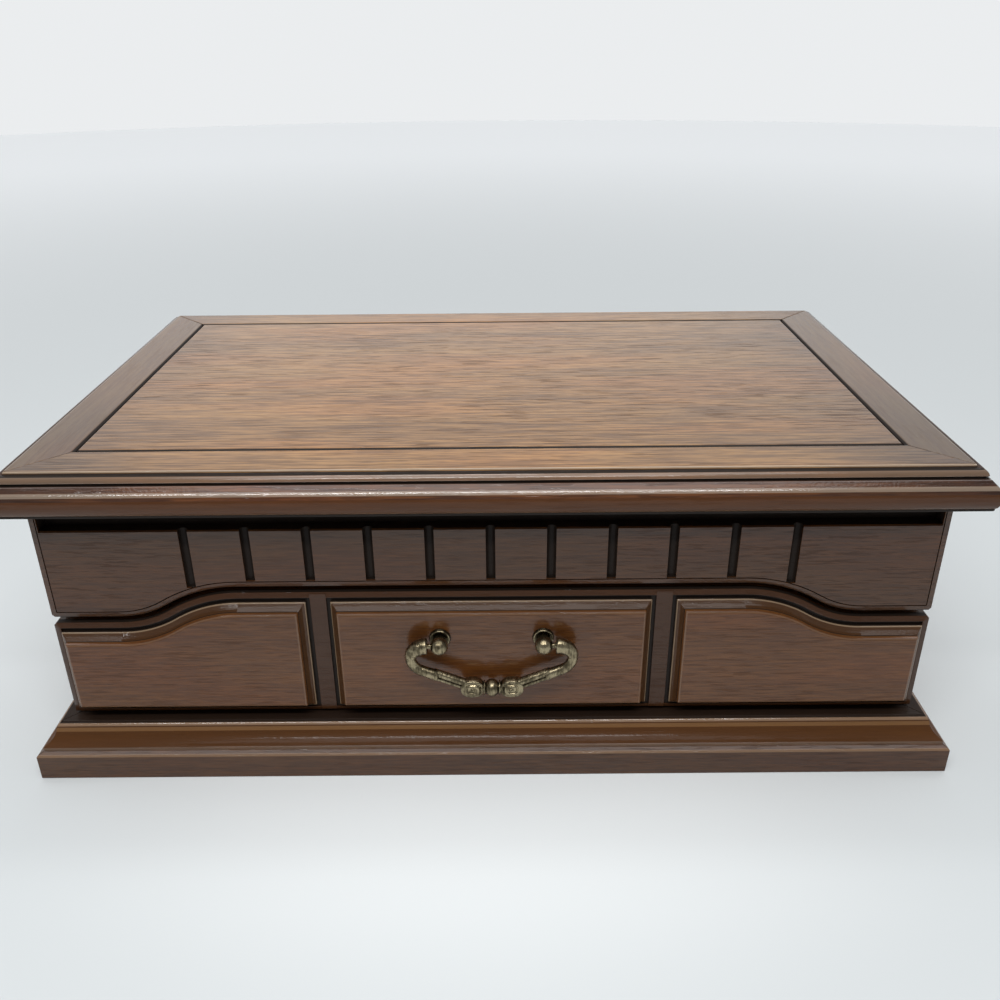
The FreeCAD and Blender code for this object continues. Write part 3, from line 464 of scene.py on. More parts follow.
def fluted_zones(wood):
    """Black in the quirk, the flutes and the shadow groove of the fixed front, away from its ends: black
    stain with painted shade.
    """
    between_ends = ("far_x", None, HALF_WIDTH - 1.6 * MM)
    return [([behind(FRONT_Y, 0.75, 7.0), between_ends], wood.black_stain_and_shade, 1.0)]


def board_zones(wood):
    """The drawer's board: nearly black, a dark stain that also paints the shade on its strip under the fixed
    front, and black painted shade in the housings round the panels.
    """
    between_ends = ("far_x", None, HALF_WIDTH - 1.0 * MM)
    return [
        ([("y", None, FRONT_Y + 0.8 * MM)], scaled(wood.stain_dark, 0.5), 0.85, 0.35),
        ([behind(FRONT_Y, 0.70, 3.0), between_ends], wood.black_stain_and_shade, 1.0),
    ]


def panel_zones(wood):
    """A raised panel from its field backwards: painted highlights on the worn round, a line past the orange
    step and the outer arris; painted shade in the black quirk, the dark hollow and the black side.
    """
    orange = (0.20, 0.080, 0.025)
    hollow = (0.060, 0.026, 0.009)
    pale = (0.30, 0.21, 0.13)
    return [
        ([behind(PANEL_Y, 0.06, 0.36)], wood.wear_and_highlight, 0.35),
        ([behind(PANEL_Y, 0.55, 1.45)], orange, 0.35),
        ([behind(PANEL_Y, 1.45, 1.62)], wood.wear_and_highlight, 0.3),
        ([behind(PANEL_Y, 1.72, 2.05)], wood.black_stain_and_shade, 1.0),
        ([behind(PANEL_Y, 2.05, 4.30)], hollow, 0.8, 0.4),
        ([behind(PANEL_Y, 4.25, 4.70)], pale, 0.8),
        ([("y", PANEL_Y + 4.70 * MM, None)], wood.black_stain_and_shade, 1.0),
    ]


def moulding_tone(far, reach):
    """The darker stain of the lid's moulded edge, under its top arris."""
    ranges = [(far, reach - MOULDING_WIDTH, None), ("z", None, LID_TOP - 0.9 * MM)]
    return ranges, (0.36, 0.22, 0.12), 0.2 * MM


def lid_zones(wood, far, reach, fillet=1.0):
    """A lid rail from its groove outwards and from its top arris down to its foot, much of it painted
    highlight and painted shade.
    """
    arris_highlight = (0.50, 0.38, 0.27)
    bead_highlight = (0.34, 0.235, 0.155)
    nose_highlight = (0.46, 0.36, 0.27)
    inner = (far, None, reach - GROOVE_INSET)
    arris = (far, reach - ARRIS_WIDTH, None)
    outer = (far, reach - MOULDING_WIDTH, None)
    # Painted highlight on the top arris, the bead, the nose's shoulder and the worn line above the foot;
    # black painted shade in the groove, fillet and quirk and under the foot; darker stain with painted shade
    # on the nose's lower half.
    return [
        ([inner, under(LID_TOP, 0.10, 4.0)], wood.black_stain_and_shade, 1.0),
        ([arris, ("z", LID_TOP - 0.62 * MM, None)], arris_highlight, 0.7),
        ([outer, under(LID_TOP, 0.85, 1.25)], wood.black_stain_and_shade, fillet),
        ([outer, under(LID_TOP, 1.25, 3.15)], bead_highlight, 0.35),
        ([outer, under(LID_TOP, 5.7, 7.0)], nose_highlight, 0.4),
        ([outer, under(LID_TOP, 3.15, 4.05)], wood.black_stain_and_shade, 1.0),
        ([outer, ("z", LID_FOOT + 1.6 * MM, LID_TOP - 8.2 * MM)], wood.stain_dark, 0.8, 0.75),
        ([outer, ("z", LID_FOOT + 1.15 * MM, LID_FOOT + 1.6 * MM)], wood.wear_and_highlight, 0.6),
        ([outer, ("z", None, LID_FOOT + 1.1 * MM)], wood.black_stain_and_shade, 1.0),
    ]


def base_zones(wood, far, half):
    """The base moulding: black painted shade on the top beside the case, painted highlights on the worn
    bead, step and plinth arris, and a golden hollow with a painted highlight.
    """
    golden = (0.085, 0.031, 0.007)
    golden_highlight = (0.28, 0.14, 0.05)
    bead = (far, half + 4.7 * MM, None)
    hollow = (far, half + 5.2 * MM, None)
    step = (far, half + 10.1 * MM, None)
    plinth = (far, half + 11.8 * MM, None)
    return [
        ([(far, half - 3.0 * MM, half + 4.7 * MM), ("z", BASE_TOP - 1.2 * MM, None)], wood.black_stain_and_shade, 0.9),
        ([bead, ("z", BASE_TOP - 1.5 * MM, None)], wood.wear_and_highlight, 0.85),
        ([hollow, under(BASE_TOP, 1.7, 8.0)], golden, 0.8, 0.95),
        ([hollow, under(BASE_TOP, 2.0, 3.6)], golden_highlight, 0.5),
        ([step, under(BASE_TOP, 8.1, 9.2)], wood.wear_and_highlight, 0.35),
        ([plinth, under(BASE_TOP, 10.1, 10.9)], wood.wear_and_highlight, 0.7),
    ]


def velvet_pile(name, pile):
    """Short velvet pile: fine tufts, soft rubbed patches and a bright sheen at grazing angles."""
    made = Recipe(name)
    patches = made.noise((60.0, 60.0, 60.0), detail=3.0)
    tufts = made.noise((2600.0, 2600.0, 2600.0), detail=2.0)
    base = made.mix(made.ramp(patches, 0.35, 0.65), colour(scaled(pile, 0.6)), colour(pile))
    base = made.mix(made.ramp(tufts, 0.35, 0.7, 0.0, 0.5), base, colour(scaled(pile, 0.4)))
    return made.finish(
        Base_Color=base, Roughness=0.95, Normal=made.bump(tufts, 0.0002, 0.6),
        Sheen_Weight=0.7, Sheen_Roughness=0.35, Sheen_Tint=(0.9, 0.5, 0.5, 1.0))


def aged_brass(name, raised, hollow):
    """Antique brass: patina in the hollows, found by how closed in a point is, and fine dark streaks."""
    made = Recipe(name)
    blotches = made.noise((260.0, 260.0, 260.0), detail=4.0, roughness=0.6)
    streaks = made.noise((1500.0, 900.0, 260.0), detail=2.0)
    hollows = made.add("ShaderNodeAmbientOcclusion", Distance=0.0012)
    hollows.samples = 6
    open_share = made.ramp(hollows.outputs["AO"], 0.40, 0.90)
    wear = made.maths("ADD", blotches, made.maths("MULTIPLY", streaks, 0.7))
    worn = made.ramp(wear, 0.68, 0.96, 0.25, 1.0)
    base = made.mix(made.maths("MULTIPLY", worn, open_share), colour(hollow), colour(raised))
    return made.finish(
        Base_Color=base, Metallic=1.0, Roughness=made.ramp(blotches, 0.3, 0.7, 0.38, 0.24),
        Normal=made.bump(streaks, 0.00014, 0.7))


def plated_metal(name, tint, roughness):
    """Plated metal with faint brushing."""
    made = Recipe(name)
    brushing = made.noise((300.0, 2500.0, 2500.0), detail=2.0)
    base = made.mix(made.ramp(brushing, 0.3, 0.7), colour(scaled(tint, 0.8)), colour(tint))
    return made.finish(
        Base_Color=base, Metallic=1.0, Roughness=roughness, Normal=made.bump(brushing, 0.00002, 0.4))


def mirror_silver(name):
    """Silvered glass: a clean metal mirror under a clear coat, with a trace of unevenness."""
    made = Recipe(name)
    waves = made.noise((18.0, 18.0, 18.0), detail=1.0)
    base = made.mix(waves, colour((0.86, 0.88, 0.89)), colour((0.82, 0.85, 0.86)))
    return made.finish(Base_Color=base, Metallic=1.0, Roughness=0.03, Coat_Weight=1.0, Coat_Roughness=0.0)


# Sizes of the cast pull
BORE_RADIUS = 1.06 * MM
BORE_DEPTH = 2.46 * MM
BORE_SEAT = 19.95 * MM
PIN_RADIUS = 0.98 * MM
PIN_INTO_EAR = 0.6 * MM
NECK_RADIUS = 2.4 * MM
SHANK_RADIUS = 1.9 * MM
COLLAR_DEPTH = 1.3 * MM
EAR_X = 23.5 * MM
EAR_RADIUS = 3.0 * MM
SIDE_RADIUS = 1.95 * MM
SIDE_DROP = 5.0 * MM
ELBOW_RADIUS = 6.0 * MM
ARM_SLOPE = 23.0
SLEEVE_LENGTH = 6.6 * MM
SLEEVE_OVERLAP = 2.0 * MM
SLEEVE_FLARE = 0.22 * MM
REED_SHIFT = 1.05 * MM
UPPER_REED = 1.40 * MM
LOWER_REED = 0.90 * MM
BAIL_DROP = 18.6 * MM
BEAD_HALF = 2.2 * MM
SCROLL_X = 6.3 * MM
SCROLL_SHIFT = 1.0 * MM
SCROLL_LIFT = 0.2 * MM
SCROLL_WIDE = 9.0 * MM
SCROLL_HIGH = 7.4 * MM
SCROLL_DEEP = 4.4 * MM
SCROLL_TURNS = 2.1
SCROLL_GROOVE = 0.55 * MM

# Rings along the parts of the bail
EAR_RINGS = 22
ELBOW_RINGS = 16
SLEEVE_RINGS = 12
FLARE_RINGS = 9
REED_RINGS = 14


def joint_place(name):
    """A point on a joint's axis, from the record."""
    joints = frame["record"]["behaviour"]["joints"]
    return next(joint["pos_m"] for joint in joints if joint["name"] == name)


# Operators, one for each piece or group of like pieces

class BOX_OT_case(bpy.types.Operator):
    """Finish the case's sides, back and fluted front"""
    bl_idname = "jewel_box.case"
    bl_label = "Case"

    def execute(self, context):
        wood = context.scene.box_wood
        tones = (wood.stain_dark, wood.stain_light)
        across = grained_wood("Case wood across", *tones, ALONG_X, **FRONT_FINISH)
        deep = grained_wood("Case wood deep", *tones, ALONG_Y, **FRONT_FINISH)
        # Painted shade: the fluted front is darker all over, as under the lid's overhang.
        shaded = (scaled(wood.stain_dark, 0.55), scaled(wood.stain_light, 0.55))
        fluted = grained_wood("Fluted wood", *shaded, ALONG_X, fluted_zones(wood), **FRONT_FINISH)
        # Its eased edges are lighter: wear with a painted highlight.
        worn = (wood.stain_light, wood.wear_and_highlight)
        edge = grained_wood("Front edge wood", *worn, ALONG_X, fluted_zones(wood), coat=0.3)
        dress(["case_back"], across)
        dress(CASE_DEEP, deep)
        dress(["fluted_front"], fluted, edge)
        ease_edges(["case_back", *CASE_DEEP], wood.edge_ease)
        ease_edges(["fluted_front"], wood.edge_ease, clamp=True)
        return {"FINISHED"}


class BOX_OT_base(bpy.types.Operator):
    """Finish the base moulding"""
    bl_idname = "jewel_box.base"
    bl_label = "Base moulding"

    def execute(self, context):
        wood = context.scene.box_wood
        across = base_zones(wood, "far_y", -FRONT_Y)
        deep = base_zones(wood, "far_x", HALF_WIDTH)
        tones = (scaled(wood.stain_dark, 0.62), scaled(wood.stain_light, 0.65))
        dress(BASE_ACROSS, grained_wood("Base wood across", *tones, ALONG_X, across, **FRONT_FINISH))
        dress(BASE_DEEP, grained_wood("Base wood deep", *tones, ALONG_Y, deep, **FRONT_FINISH))
        ease_edges(BASE_ACROSS + BASE_DEEP, wood.edge_ease)
        return {"FINISHED"}


class BOX_OT_drawer(bpy.types.Operator):
    """Finish the drawer front and its raised panels"""
    bl_idname = "jewel_box.drawer"
    bl_label = "Drawer front"

    def execute(self, context):
        wood = context.scene.box_wood
        tones = (wood.stain_dark, wood.stain_light)
        board = grained_wood("Drawer front wood", *tones, ALONG_X, board_zones(wood), **FRONT_FINISH)
        panel = grained_wood("Raised panel wood", *tones, ALONG_X, panel_zones(wood), **FRONT_FINISH)
        dress(["drawer_front"], board)
        dress(DRAWER_PANELS, panel)
        ease_edges(["drawer_front"], wood.edge_ease, clamp=True)
        ease_edges(DRAWER_PANELS, wood.edge_ease)
        return {"FINISHED"}


class BOX_OT_lid(bpy.types.Operator):
    """Finish the lid: rails, panel and the beads round the mirror"""
    bl_idname = "jewel_box.lid"
    bl_label = "Lid"

    def execute(self, context):
        wood = context.scene.box_wood
        tones = (wood.lid_dark, wood.lid_light)
        # Painted shade: the lid is darker towards its ends, its front corners and its right side, where the
        # light falls off, partly as a darker tone.
        ends = ([("far_x", 140 * MM, None)], (0.55, 0.50, 0.52), 35 * MM)
        corners = ([("far_x", 130 * MM, None), ("y", None, -35 * MM)], (0.72, 0.75, 0.84), 30 * MM)
        right = ([("x", 75 * MM, None)], (0.86, 0.88, 0.92), 60 * MM)
        zones = lid_zones(wood, "far_y", LID_REACH_Y)
        shading = [ends, corners, right, moulding_tone("far_y", LID_REACH_Y)]
        across = grained_wood("Lid wood across", *tones, ALONG_X, zones, shading, grain=LID_GRAIN, pores=0.5)
        zones = lid_zones(wood, "far_x", LID_REACH_X, 0.2)
        # The side rails are darker: partly a darker stain, partly painted shade.
        darker = (wood.lid_dark, scaled(wood.lid_light, 0.42))
        shading = [corners, right, moulding_tone("far_x", LID_REACH_X)]
        deep = grained_wood("Lid wood deep", *darker, ALONG_Y, zones, shading, pores=0.2)
        groove = [([under(LID_TOP, 0.10, 4.0)], wood.black_stain_and_shade, 1.0)]
        shading = [ends, right]
        panel = grained_wood("Lid panel wood", *tones, ALONG_X, groove, shading, grain=LID_GRAIN, pores=0.7)
        dress(LID_ACROSS + MIRROR_BEADS_ACROSS, across)
        dress(LID_DEEP + MIRROR_BEADS_DEEP, deep)
        dress(["lid_panel"], panel)
        dress(["lid_mirror"], mirror_silver("Mirror"))
        ease_edges(LID_ACROSS + LID_DEEP, 1.6 * wood.edge_ease, sharpest=13)
        ease_edges(["lid_panel"], wood.edge_ease)
        return {"FINISHED"}


class BOX_OT_inner_boards(bpy.types.Operator):
    """Finish the unstained boards inside the case and the drawer"""
    bl_idname = "jewel_box.inner_boards"
    bl_label = "Inner boards"

    def execute(self, context):
        wood = context.scene.box_wood
        tones = (wood.board_dark, wood.board_light)
        across = grained_wood("Plain board across", *tones, ALONG_X, **BOARD_FINISH)
        deep = grained_wood("Plain board deep", *tones, ALONG_Y, **BOARD_FINISH)
        dress(BOARDS_ACROSS, across)
        dress(BOARDS_DEEP, deep)
        return {"FINISHED"}


def turned(profile, centre, axis, around=48):
    """Rings of a turned form: each (along, radius) of the profile makes a circle square to the axis."""
    along, radius = np.array(profile, float).T
    theta = np.linspace(0.0, 2 * math.pi, around, endpoint=False)
    rings = np.zeros((len(along), around, 3))
    others = [k for k in range(3) if k != axis]
    rings[:, :, axis] = along[:, None]
    rings[:, :, others[0]] = np.outer(radius, np.cos(theta))
    rings[:, :, others[1]] = np.outer(radius, np.sin(theta))
    return rings + np.array(centre)


def ball_profile(radius, bore_radius, bore_depth, side):
    """A ball with a bore on one side, from the bore's bottom round to the far pole.

    The ball's points are (R cos a, R sin a), where a runs from the bore's mouth to half a turn.
    """
    mouth = math.asin(bore_radius / radius)
    angle = np.linspace(mouth, math.pi - 0.02, 40)
    bore = [(radius - bore_depth, bore_radius), (radius * math.cos(mouth), bore_radius)]
    ball = [(radius * math.cos(a), radius * math.sin(a)) for a in angle]
    return [(side * along, r) for along, r in bore + ball[1:]]


def swept(path, flat_radius, deep_radius, y, relief=None):
    """Rings of a tube along a path in the plane of the bail, with an elliptical section.

    At a point of the path with tangent t, a section's point is the centre plus
    flat_radius cos(a) times the normal of t, plus deep_radius sin(a) towards the front.
    """
    tangent = np.gradient(path, axis=0)
    tangent /= np.linalg.norm(tangent, axis=1)[:, None]
    normal = np.stack([tangent[:, 1], -tangent[:, 0]], -1)
    theta = np.linspace(0.0, 2 * math.pi, 40, endpoint=False)
    swell = np.ones((len(path), len(theta)))
    if relief is not None:
        swell += relief(np.linspace(0.0, 1.0, len(path))[:, None], theta[None, :])
    flat = swell * np.outer(flat_radius, np.cos(theta))
    deep = swell * np.outer(deep_radius, np.sin(theta))
    x = path[:, :1] + flat * normal[:, :1]
    z = path[:, 1:] + flat * normal[:, 1:]
    return np.stack([x, y - deep, z], -1)


def bail_side_path(pivot_z, half_width, slope):
    """The middle line of one side of the bail: round the ear, down the side and along the elbow.

    A quarter ellipse from the ear to the side, then an arc until the arm's slope is reached.
    """
    turn = np.linspace(0.0, math.pi / 2, EAR_RINGS)
    ear = EAR_X + (half_width - SIDE_RADIUS - EAR_X) * np.sin(turn)
    ear_z = pivot_z - SIDE_DROP * (1 - np.cos(turn))
    bend = np.linspace(0.0, math.pi / 2 - slope, ELBOW_RINGS)[1:]
    elbow = half_width - SIDE_RADIUS - ELBOW_RADIUS * (1 - np.cos(bend))
    elbow_z = pivot_z - SIDE_DROP - ELBOW_RADIUS * np.sin(bend)
    x = np.concatenate([ear, elbow])
    z = np.concatenate([ear_z, elbow_z])
    return np.stack([x, z], -1)


def leaf_relief(along, theta):
    """Veins of a leaf: ridges that slant from the middle line to both sides, fading at the ends."""
    fade = np.clip(1.2 - np.abs(2.6 * along - 0.9), 0.0, 1.0)
    slant = np.abs(np.sin(theta)) * 1.4
    return 0.10 * fade * np.abs(np.sin(34.0 * along + slant * 3.0)) - 0.05 * fade


def scroll_rings(centre, y, half_wide, half_high, half_deep):
    """Rings of a scroll block: a rounded cushion with a spiral groove cut in its domed front.

    On the front, the groove's depth is greatest where the turn from the middle, in rings of one pitch,
    equals the angle round it. The side swells in a half turn, and the back is flat.
    """
    theta = np.linspace(0.0, 2 * math.pi, 56, endpoint=False)
    outline_x = half_wide * np.sign(np.cos(theta)) * np.abs(np.cos(theta)) ** 0.85
    outline_z = half_high * np.sign(np.sin(theta)) * np.abs(np.sin(theta)) ** 0.85
    steps = []
    for share in np.linspace(0.04, 0.84, 22):
        groove = 0.5 + 0.5 * np.cos(2 * math.pi * share * SCROLL_TURNS - theta)
        fade = min(1.0, share * 5) * min(1.0, (0.88 - share) * 8)
        dome = half_deep * (1 - 0.45 * share ** 4)
        steps.append((share, y - dome + SCROLL_GROOVE * fade * groove ** 2))
    for turn in np.linspace(0.6, math.pi - 0.2, 14):
        steps.append((0.80 + 0.20 * math.sin(turn) ** 0.7, y - half_deep * 0.9 * math.cos(turn)))
    for share in np.linspace(0.9, 0.05, 6):
        steps.append((share, y + half_deep * 0.9))
    level = np.ones(len(theta))
    return np.array([
        np.stack([centre[0] + reach * outline_x, deep * level, centre[1] + reach * outline_z], -1)
        for reach, deep in steps
    ])


def bead_profile():
    """The barrel between two thin collars, with a neck beyond each."""
    barrel = [(x, (3.3 - 1.0 * (x / BEAD_HALF) ** 2) * MM) for x in np.linspace(-BEAD_HALF, BEAD_HALF, 17)]
    steps = [(0.05, 1.9), (0.35, 1.9), (0.40, 2.7), (0.65, 2.85), (0.90, 2.7), (0.95, 1.9), (2.2, 1.9)]
    right = [(BEAD_HALF + along * MM, radius * MM) for along, radius in steps]
    left = [(-x, r) for x, r in reversed(right)]
    return left + barrel + right


def bail_half(half_width, y, z, relief):
    """Skins of the bail's right half: ear, elbow and sleeve, scroll block, two reeds and the pin."""
    slope = math.radians(ARM_SLOPE)
    inward = np.array([-math.cos(slope), -math.sin(slope)])
    square = np.array([-math.sin(slope), math.cos(slope)])
    path = bail_side_path(z, half_width, slope)
    start = path[-1]
    run = np.linspace(0.0, SLEEVE_LENGTH, SLEEVE_RINGS)[1:]
    path = np.vstack([path, start + np.outer(run, inward)])
    share = np.clip(np.arange(len(path)) / (EAR_RINGS - 1), 0.0, 1.0)
    radius = EAR_RADIUS + (SIDE_RADIUS - EAR_RADIUS) * np.sin(share * math.pi / 4) ** 2 * 2
    radius[-FLARE_RINGS:] += np.linspace(0.0, SLEEVE_FLARE, FLARE_RINGS)
    tube = swept(path, radius, radius * 0.95, y, relief)
    first = start + inward * (SLEEVE_LENGTH - SLEEVE_OVERLAP)
    last_x = SCROLL_X + SLEEVE_OVERLAP
    last = np.array([last_x, start[1] - (start[0] - last_x) * math.tan(slope)])
    reeds = []
    for shift, thick in ((REED_SHIFT, UPPER_REED), (-REED_SHIFT, LOWER_REED)):
        line = np.linspace(first, last, REED_RINGS) + square * shift
        width = np.full(REED_RINGS, thick)
        reeds.append(swept(line, width, width * 1.15, y))
    centre = (SCROLL_X + SCROLL_SHIFT, z - BAIL_DROP + SCROLL_LIFT)
    block = scroll_rings(centre, y, SCROLL_WIDE / 2, SCROLL_HIGH / 2, SCROLL_DEEP / 2)
    pin = [(BORE_SEAT, PIN_RADIUS), (EAR_X + PIN_INTO_EAR, PIN_RADIUS)]
    return [tube, block, *reeds, turned(pin, (0.0, y, z), 0, 32)]


class BOX_OT_posts(bpy.types.Operator):
    """Make the ball-headed posts of the pull, and finish their collars, washers and nuts"""
    bl_idname = "jewel_box.posts"
    bl_label = "Pull posts"

    def execute(self, context):
        metal = context.scene.box_metal
        brass = aged_brass("Aged brass", metal.brass_raised, metal.brass_hollow)
        _, pivot_y, pivot_z = joint_place("bail_swing")
        for side, name in ((-1, "left"), (1, "right")):
            low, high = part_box("pull_post_" + name)
            collar_low, collar_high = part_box("pull_collar_" + name)
            x = (collar_low[0] + collar_high[0]) / 2
            radius = (high[2] - low[2]) / 2
            centre = (x, pivot_y, pivot_z)
            ball = turned(ball_profile(radius, BORE_RADIUS, BORE_DEPTH, side), centre, 0)
            neck = [(0.3 * radius, NECK_RADIUS), (PANEL_Y - pivot_y - COLLAR_DEPTH, NECK_RADIUS * 1.06)]
            shank = [(neck[-1][0], SHANK_RADIUS), (high[1] - pivot_y, SHANK_RADIUS)]
            stem = turned(neck + shank, centre, 1)
            post = closed_object("ball_post_" + name, [ball, stem], brass)
            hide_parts("pull_post_" + name)
            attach(post, "drawer")
        # The collars' faces are dark: patina with painted shade, and their eased rims stay bright brass.
        dark = aged_brass("Patina", scaled(metal.brass_raised, 0.25), metal.brass_hollow)
        dress(COLLARS, dark, brass)
        dress(PULL_FASTENERS, plated_metal("Zinc plating", metal.zinc, 0.35))
        ease_edges(COLLARS, 0.22 * MM)
        return {"FINISHED"}


class BOX_OT_bail(bpy.types.Operator):
    """Make the cast bail: ears, elbows, reeded arms, scrolls and the bead between them"""
    bl_idname = "jewel_box.bail"
    bl_label = "Cast bail"

    def execute(self, context):
        _, y, z = joint_place("bail_swing")
        low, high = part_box("bail_handle")
        half_width = (high[0] - low[0]) / 2
        skins = [turned(bead_profile(), (0.0, y, z - BAIL_DROP), 0)]
        for side, relief in ((-1, leaf_relief), (1, None)):
            half = bail_half(half_width, y, z, relief)
            skins += [rings * np.array([side, 1.0, 1.0]) for rings in half]
        bail = closed_object("cast_bail", skins, bpy.data.materials["Aged brass"])
        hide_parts("bail_handle")
        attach(bail, "bail")
        return {"FINISHED"}


class BOX_OT_hinges(bpy.types.Operator):
    """Finish the butt hinges and their screws"""
    bl_idname = "jewel_box.hinges"
    bl_label = "Hinges"

    def execute(self, context):
        metal = context.scene.box_metal
        dress(HINGE_BRASS, plated_metal("Hinge brass", metal.hinge_brass, 0.3))
        return {"FINISHED"}


# A level ring this far inside the rim keeps the shading of a flat floor even
LEVEL_MARGIN = 2.0 * MM


def inset_rectangle(low, high, inset, radius):
    """Points round a box's outline drawn in by an inset, its corners quarter circles, anticlockwise."""
    turn = np.linspace(0.0, math.pi / 2, 6)
    x0, y0 = low[0] + inset + radius, low[1] + inset + radius
    x1, y1 = high[0] - inset - radius, high[1] - inset - radius
    centres = [(x1, y1), (x0, y1), (x0, y0), (x1, y0)]
    corners = []
    for quarter, (x, y) in enumerate(centres):
        angle = turn + quarter * math.pi / 2
        corners.append(np.stack([x + radius * np.cos(angle), y + radius * np.sin(angle)], -1))
    return np.vstack(corners)


def lining_rings(low, high, wall, corner, cove):
    """Rings of the lining's skin: up the outside, over a round rim, down the inside and round the cove.

    Each ring is a rounded rectangle drawn in from the outside by an inset that a short profile gives.
    """
    rim = wall / 2
    turn = np.linspace(0.0, math.pi, 5)
    over = [(rim - rim * math.cos(a), high[2] - rim + rim * math.sin(a)) for a in turn]
    down = np.linspace(0.0, math.pi / 2, 6)
    floor = low[2] + wall
    cove_round = [(wall + cove - cove * math.cos(a), floor + cove - cove * math.sin(a)) for a in down]
    outside = [(LEVEL_MARGIN, low[2]), (0.0, low[2])]
    rings = []
    for inset, z in outside + over + cove_round + [(wall + cove + LEVEL_MARGIN, floor)]:
        outline = inset_rectangle(low, high, inset, max(corner - inset * 0.5, 0.0005))
        rings.append(np.column_stack([outline, np.full(len(outline), z)]))
    return np.array(rings)


def bolster_rings(x0, x1, y0, y1, z0, z1, end_power=5.0, round_power=2.6):
    """Rings of one soft roll lying along X.

    A superellipse section, drawn in to nothing at both ends by a second, squarer superellipse.
    """
    phi = np.linspace(-math.pi / 2 + 0.02, math.pi / 2 - 0.02, 40)
    reach = np.sign(np.sin(phi)) * np.abs(np.sin(phi)) ** (2 / end_power)
    shrink = np.abs(np.cos(phi)) ** (2 / end_power)
    theta = np.linspace(0.0, 2 * math.pi, 32, endpoint=False)
    section_y = np.sign(np.cos(theta)) * np.abs(np.cos(theta)) ** (2 / round_power)
    section_z = np.sign(np.sin(theta)) * np.abs(np.sin(theta)) ** (2 / round_power)
    middle = ((x0 + x1) / 2, (y0 + y1) / 2, (z0 + z1) / 2)
    x = middle[0] + (x1 - x0) / 2 * reach
    y = middle[1] + (y1 - y0) / 2 * np.outer(shrink, section_y)
    z = middle[2] + (z1 - z0) / 2 * np.outer(shrink, section_z)
    return np.stack([np.broadcast_to(x[:, None], y.shape), y, z], -1)


class BOX_OT_lining(bpy.types.Operator):
    """Line the upper compartment and cover its dividers with velvet"""
    bl_idname = "jewel_box.lining"
    bl_label = "Velvet lining"

    def execute(self, context):
        sizes = context.scene.box_lining
        velvet = velvet_pile("Velvet", sizes.velvet)
        low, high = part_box("compartment_lining")
        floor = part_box("divider_long")[0][2]
        wall = floor - low[2]
        rings = lining_rings(low, high, wall, sizes.corner_radius, sizes.cove_radius)
        lining = closed_object("velvet_lining", [rings], velvet)
        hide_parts("compartment_lining")
        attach(lining, "case")
        dress(DIVIDERS, velvet)
        ease_edges(DIVIDERS, 1.2 * MM, 3)
        return {"FINISHED"}


CUSHION_ROLLS = 5


class BOX_OT_ring_cushion(bpy.types.Operator):
    """Make the ring cushion as soft rolls side by side"""
    bl_idname = "jewel_box.ring_cushion"
    bl_label = "Ring cushion"

    def execute(self, context):
        sizes = context.scene.box_lining
        low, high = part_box("ring_cushion")
        pitch = (high[1] - low[1]) / CUSHION_ROLLS
        skins = []
        for k in range(CUSHION_ROLLS):
            near = low[1] + pitch * k + sizes.roll_gap / 2
            far = near + pitch - sizes.roll_gap
            skins.append(bolster_rings(low[0], high[0], near, far, low[2], high[2]))
        cushion = closed_object("ring_rolls", skins, bpy.data.materials["Velvet"])
        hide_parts("ring_cushion")
        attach(cushion, "case")
        return {"FINISHED"}


def pad_rings(low, high, corner, edge):
    """Rings of a thin flat pad: a rounded rectangle whose rim swells in a half circle."""
    middle = (low[2] + high[2]) / 2
    half = (high[2] - low[2]) / 2
    turn = np.linspace(-math.pi / 2, math.pi / 2, 5)
    rim = [(edge - edge * math.cos(a), middle + half * math.sin(a)) for a in turn]
    rings = []
    for inset, z in [(edge + LEVEL_MARGIN, low[2]), *rim, (edge + LEVEL_MARGIN, high[2])]:
        outline = inset_rectangle(low, high, inset, corner)
        rings.append(np.column_stack([outline, np.full(len(outline), z)]))
    return np.array(rings)


class BOX_OT_drawer_pad(bpy.types.Operator):
    """Make the felt pad on the drawer's bottom"""
    bl_idname = "jewel_box.drawer_pad"
    bl_label = "Drawer pad"

    def execute(self, context):
        low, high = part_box("drawer_felt_pad")
        rings = pad_rings(low, high, 2.0 * MM, 0.8 * MM)
        pad = closed_object("felt_pad", [rings], bpy.data.materials["Velvet"])
        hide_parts("drawer_felt_pad")
        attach(pad, "drawer")
        return {"FINISHED"}


# Sizes and places of the stage, in metres, with spread and lean in degrees
FLOOR_RADIUS = 3.0
CEILING_SPREAD = 60
CEILING_PLACE = (0.0, 0.0, 1.5)
FRONT_STRIP_SIZE = (0.90, 0.070)
FRONT_STRIP_PLACE = (-0.08, -0.61, 0.86)
FRONT_STRIP_LEAN = 34
TOP_STRIP_SIZE = (0.25, 0.05)
TOP_STRIP_PLACE = (-0.06, 0.02, 0.46)


def floor_points(radius):
    """Rings of a flat round floor, closer together near the middle."""
    reach = radius * np.linspace(0.02, 1.0, 40) ** 2 + 0.02
    theta = np.linspace(0.0, 2 * math.pi, 96, endpoint=False)
    x = np.outer(reach, np.cos(theta))
    y = np.outer(reach, np.sin(theta))
    return np.stack([x, y, np.zeros_like(x)], -1)


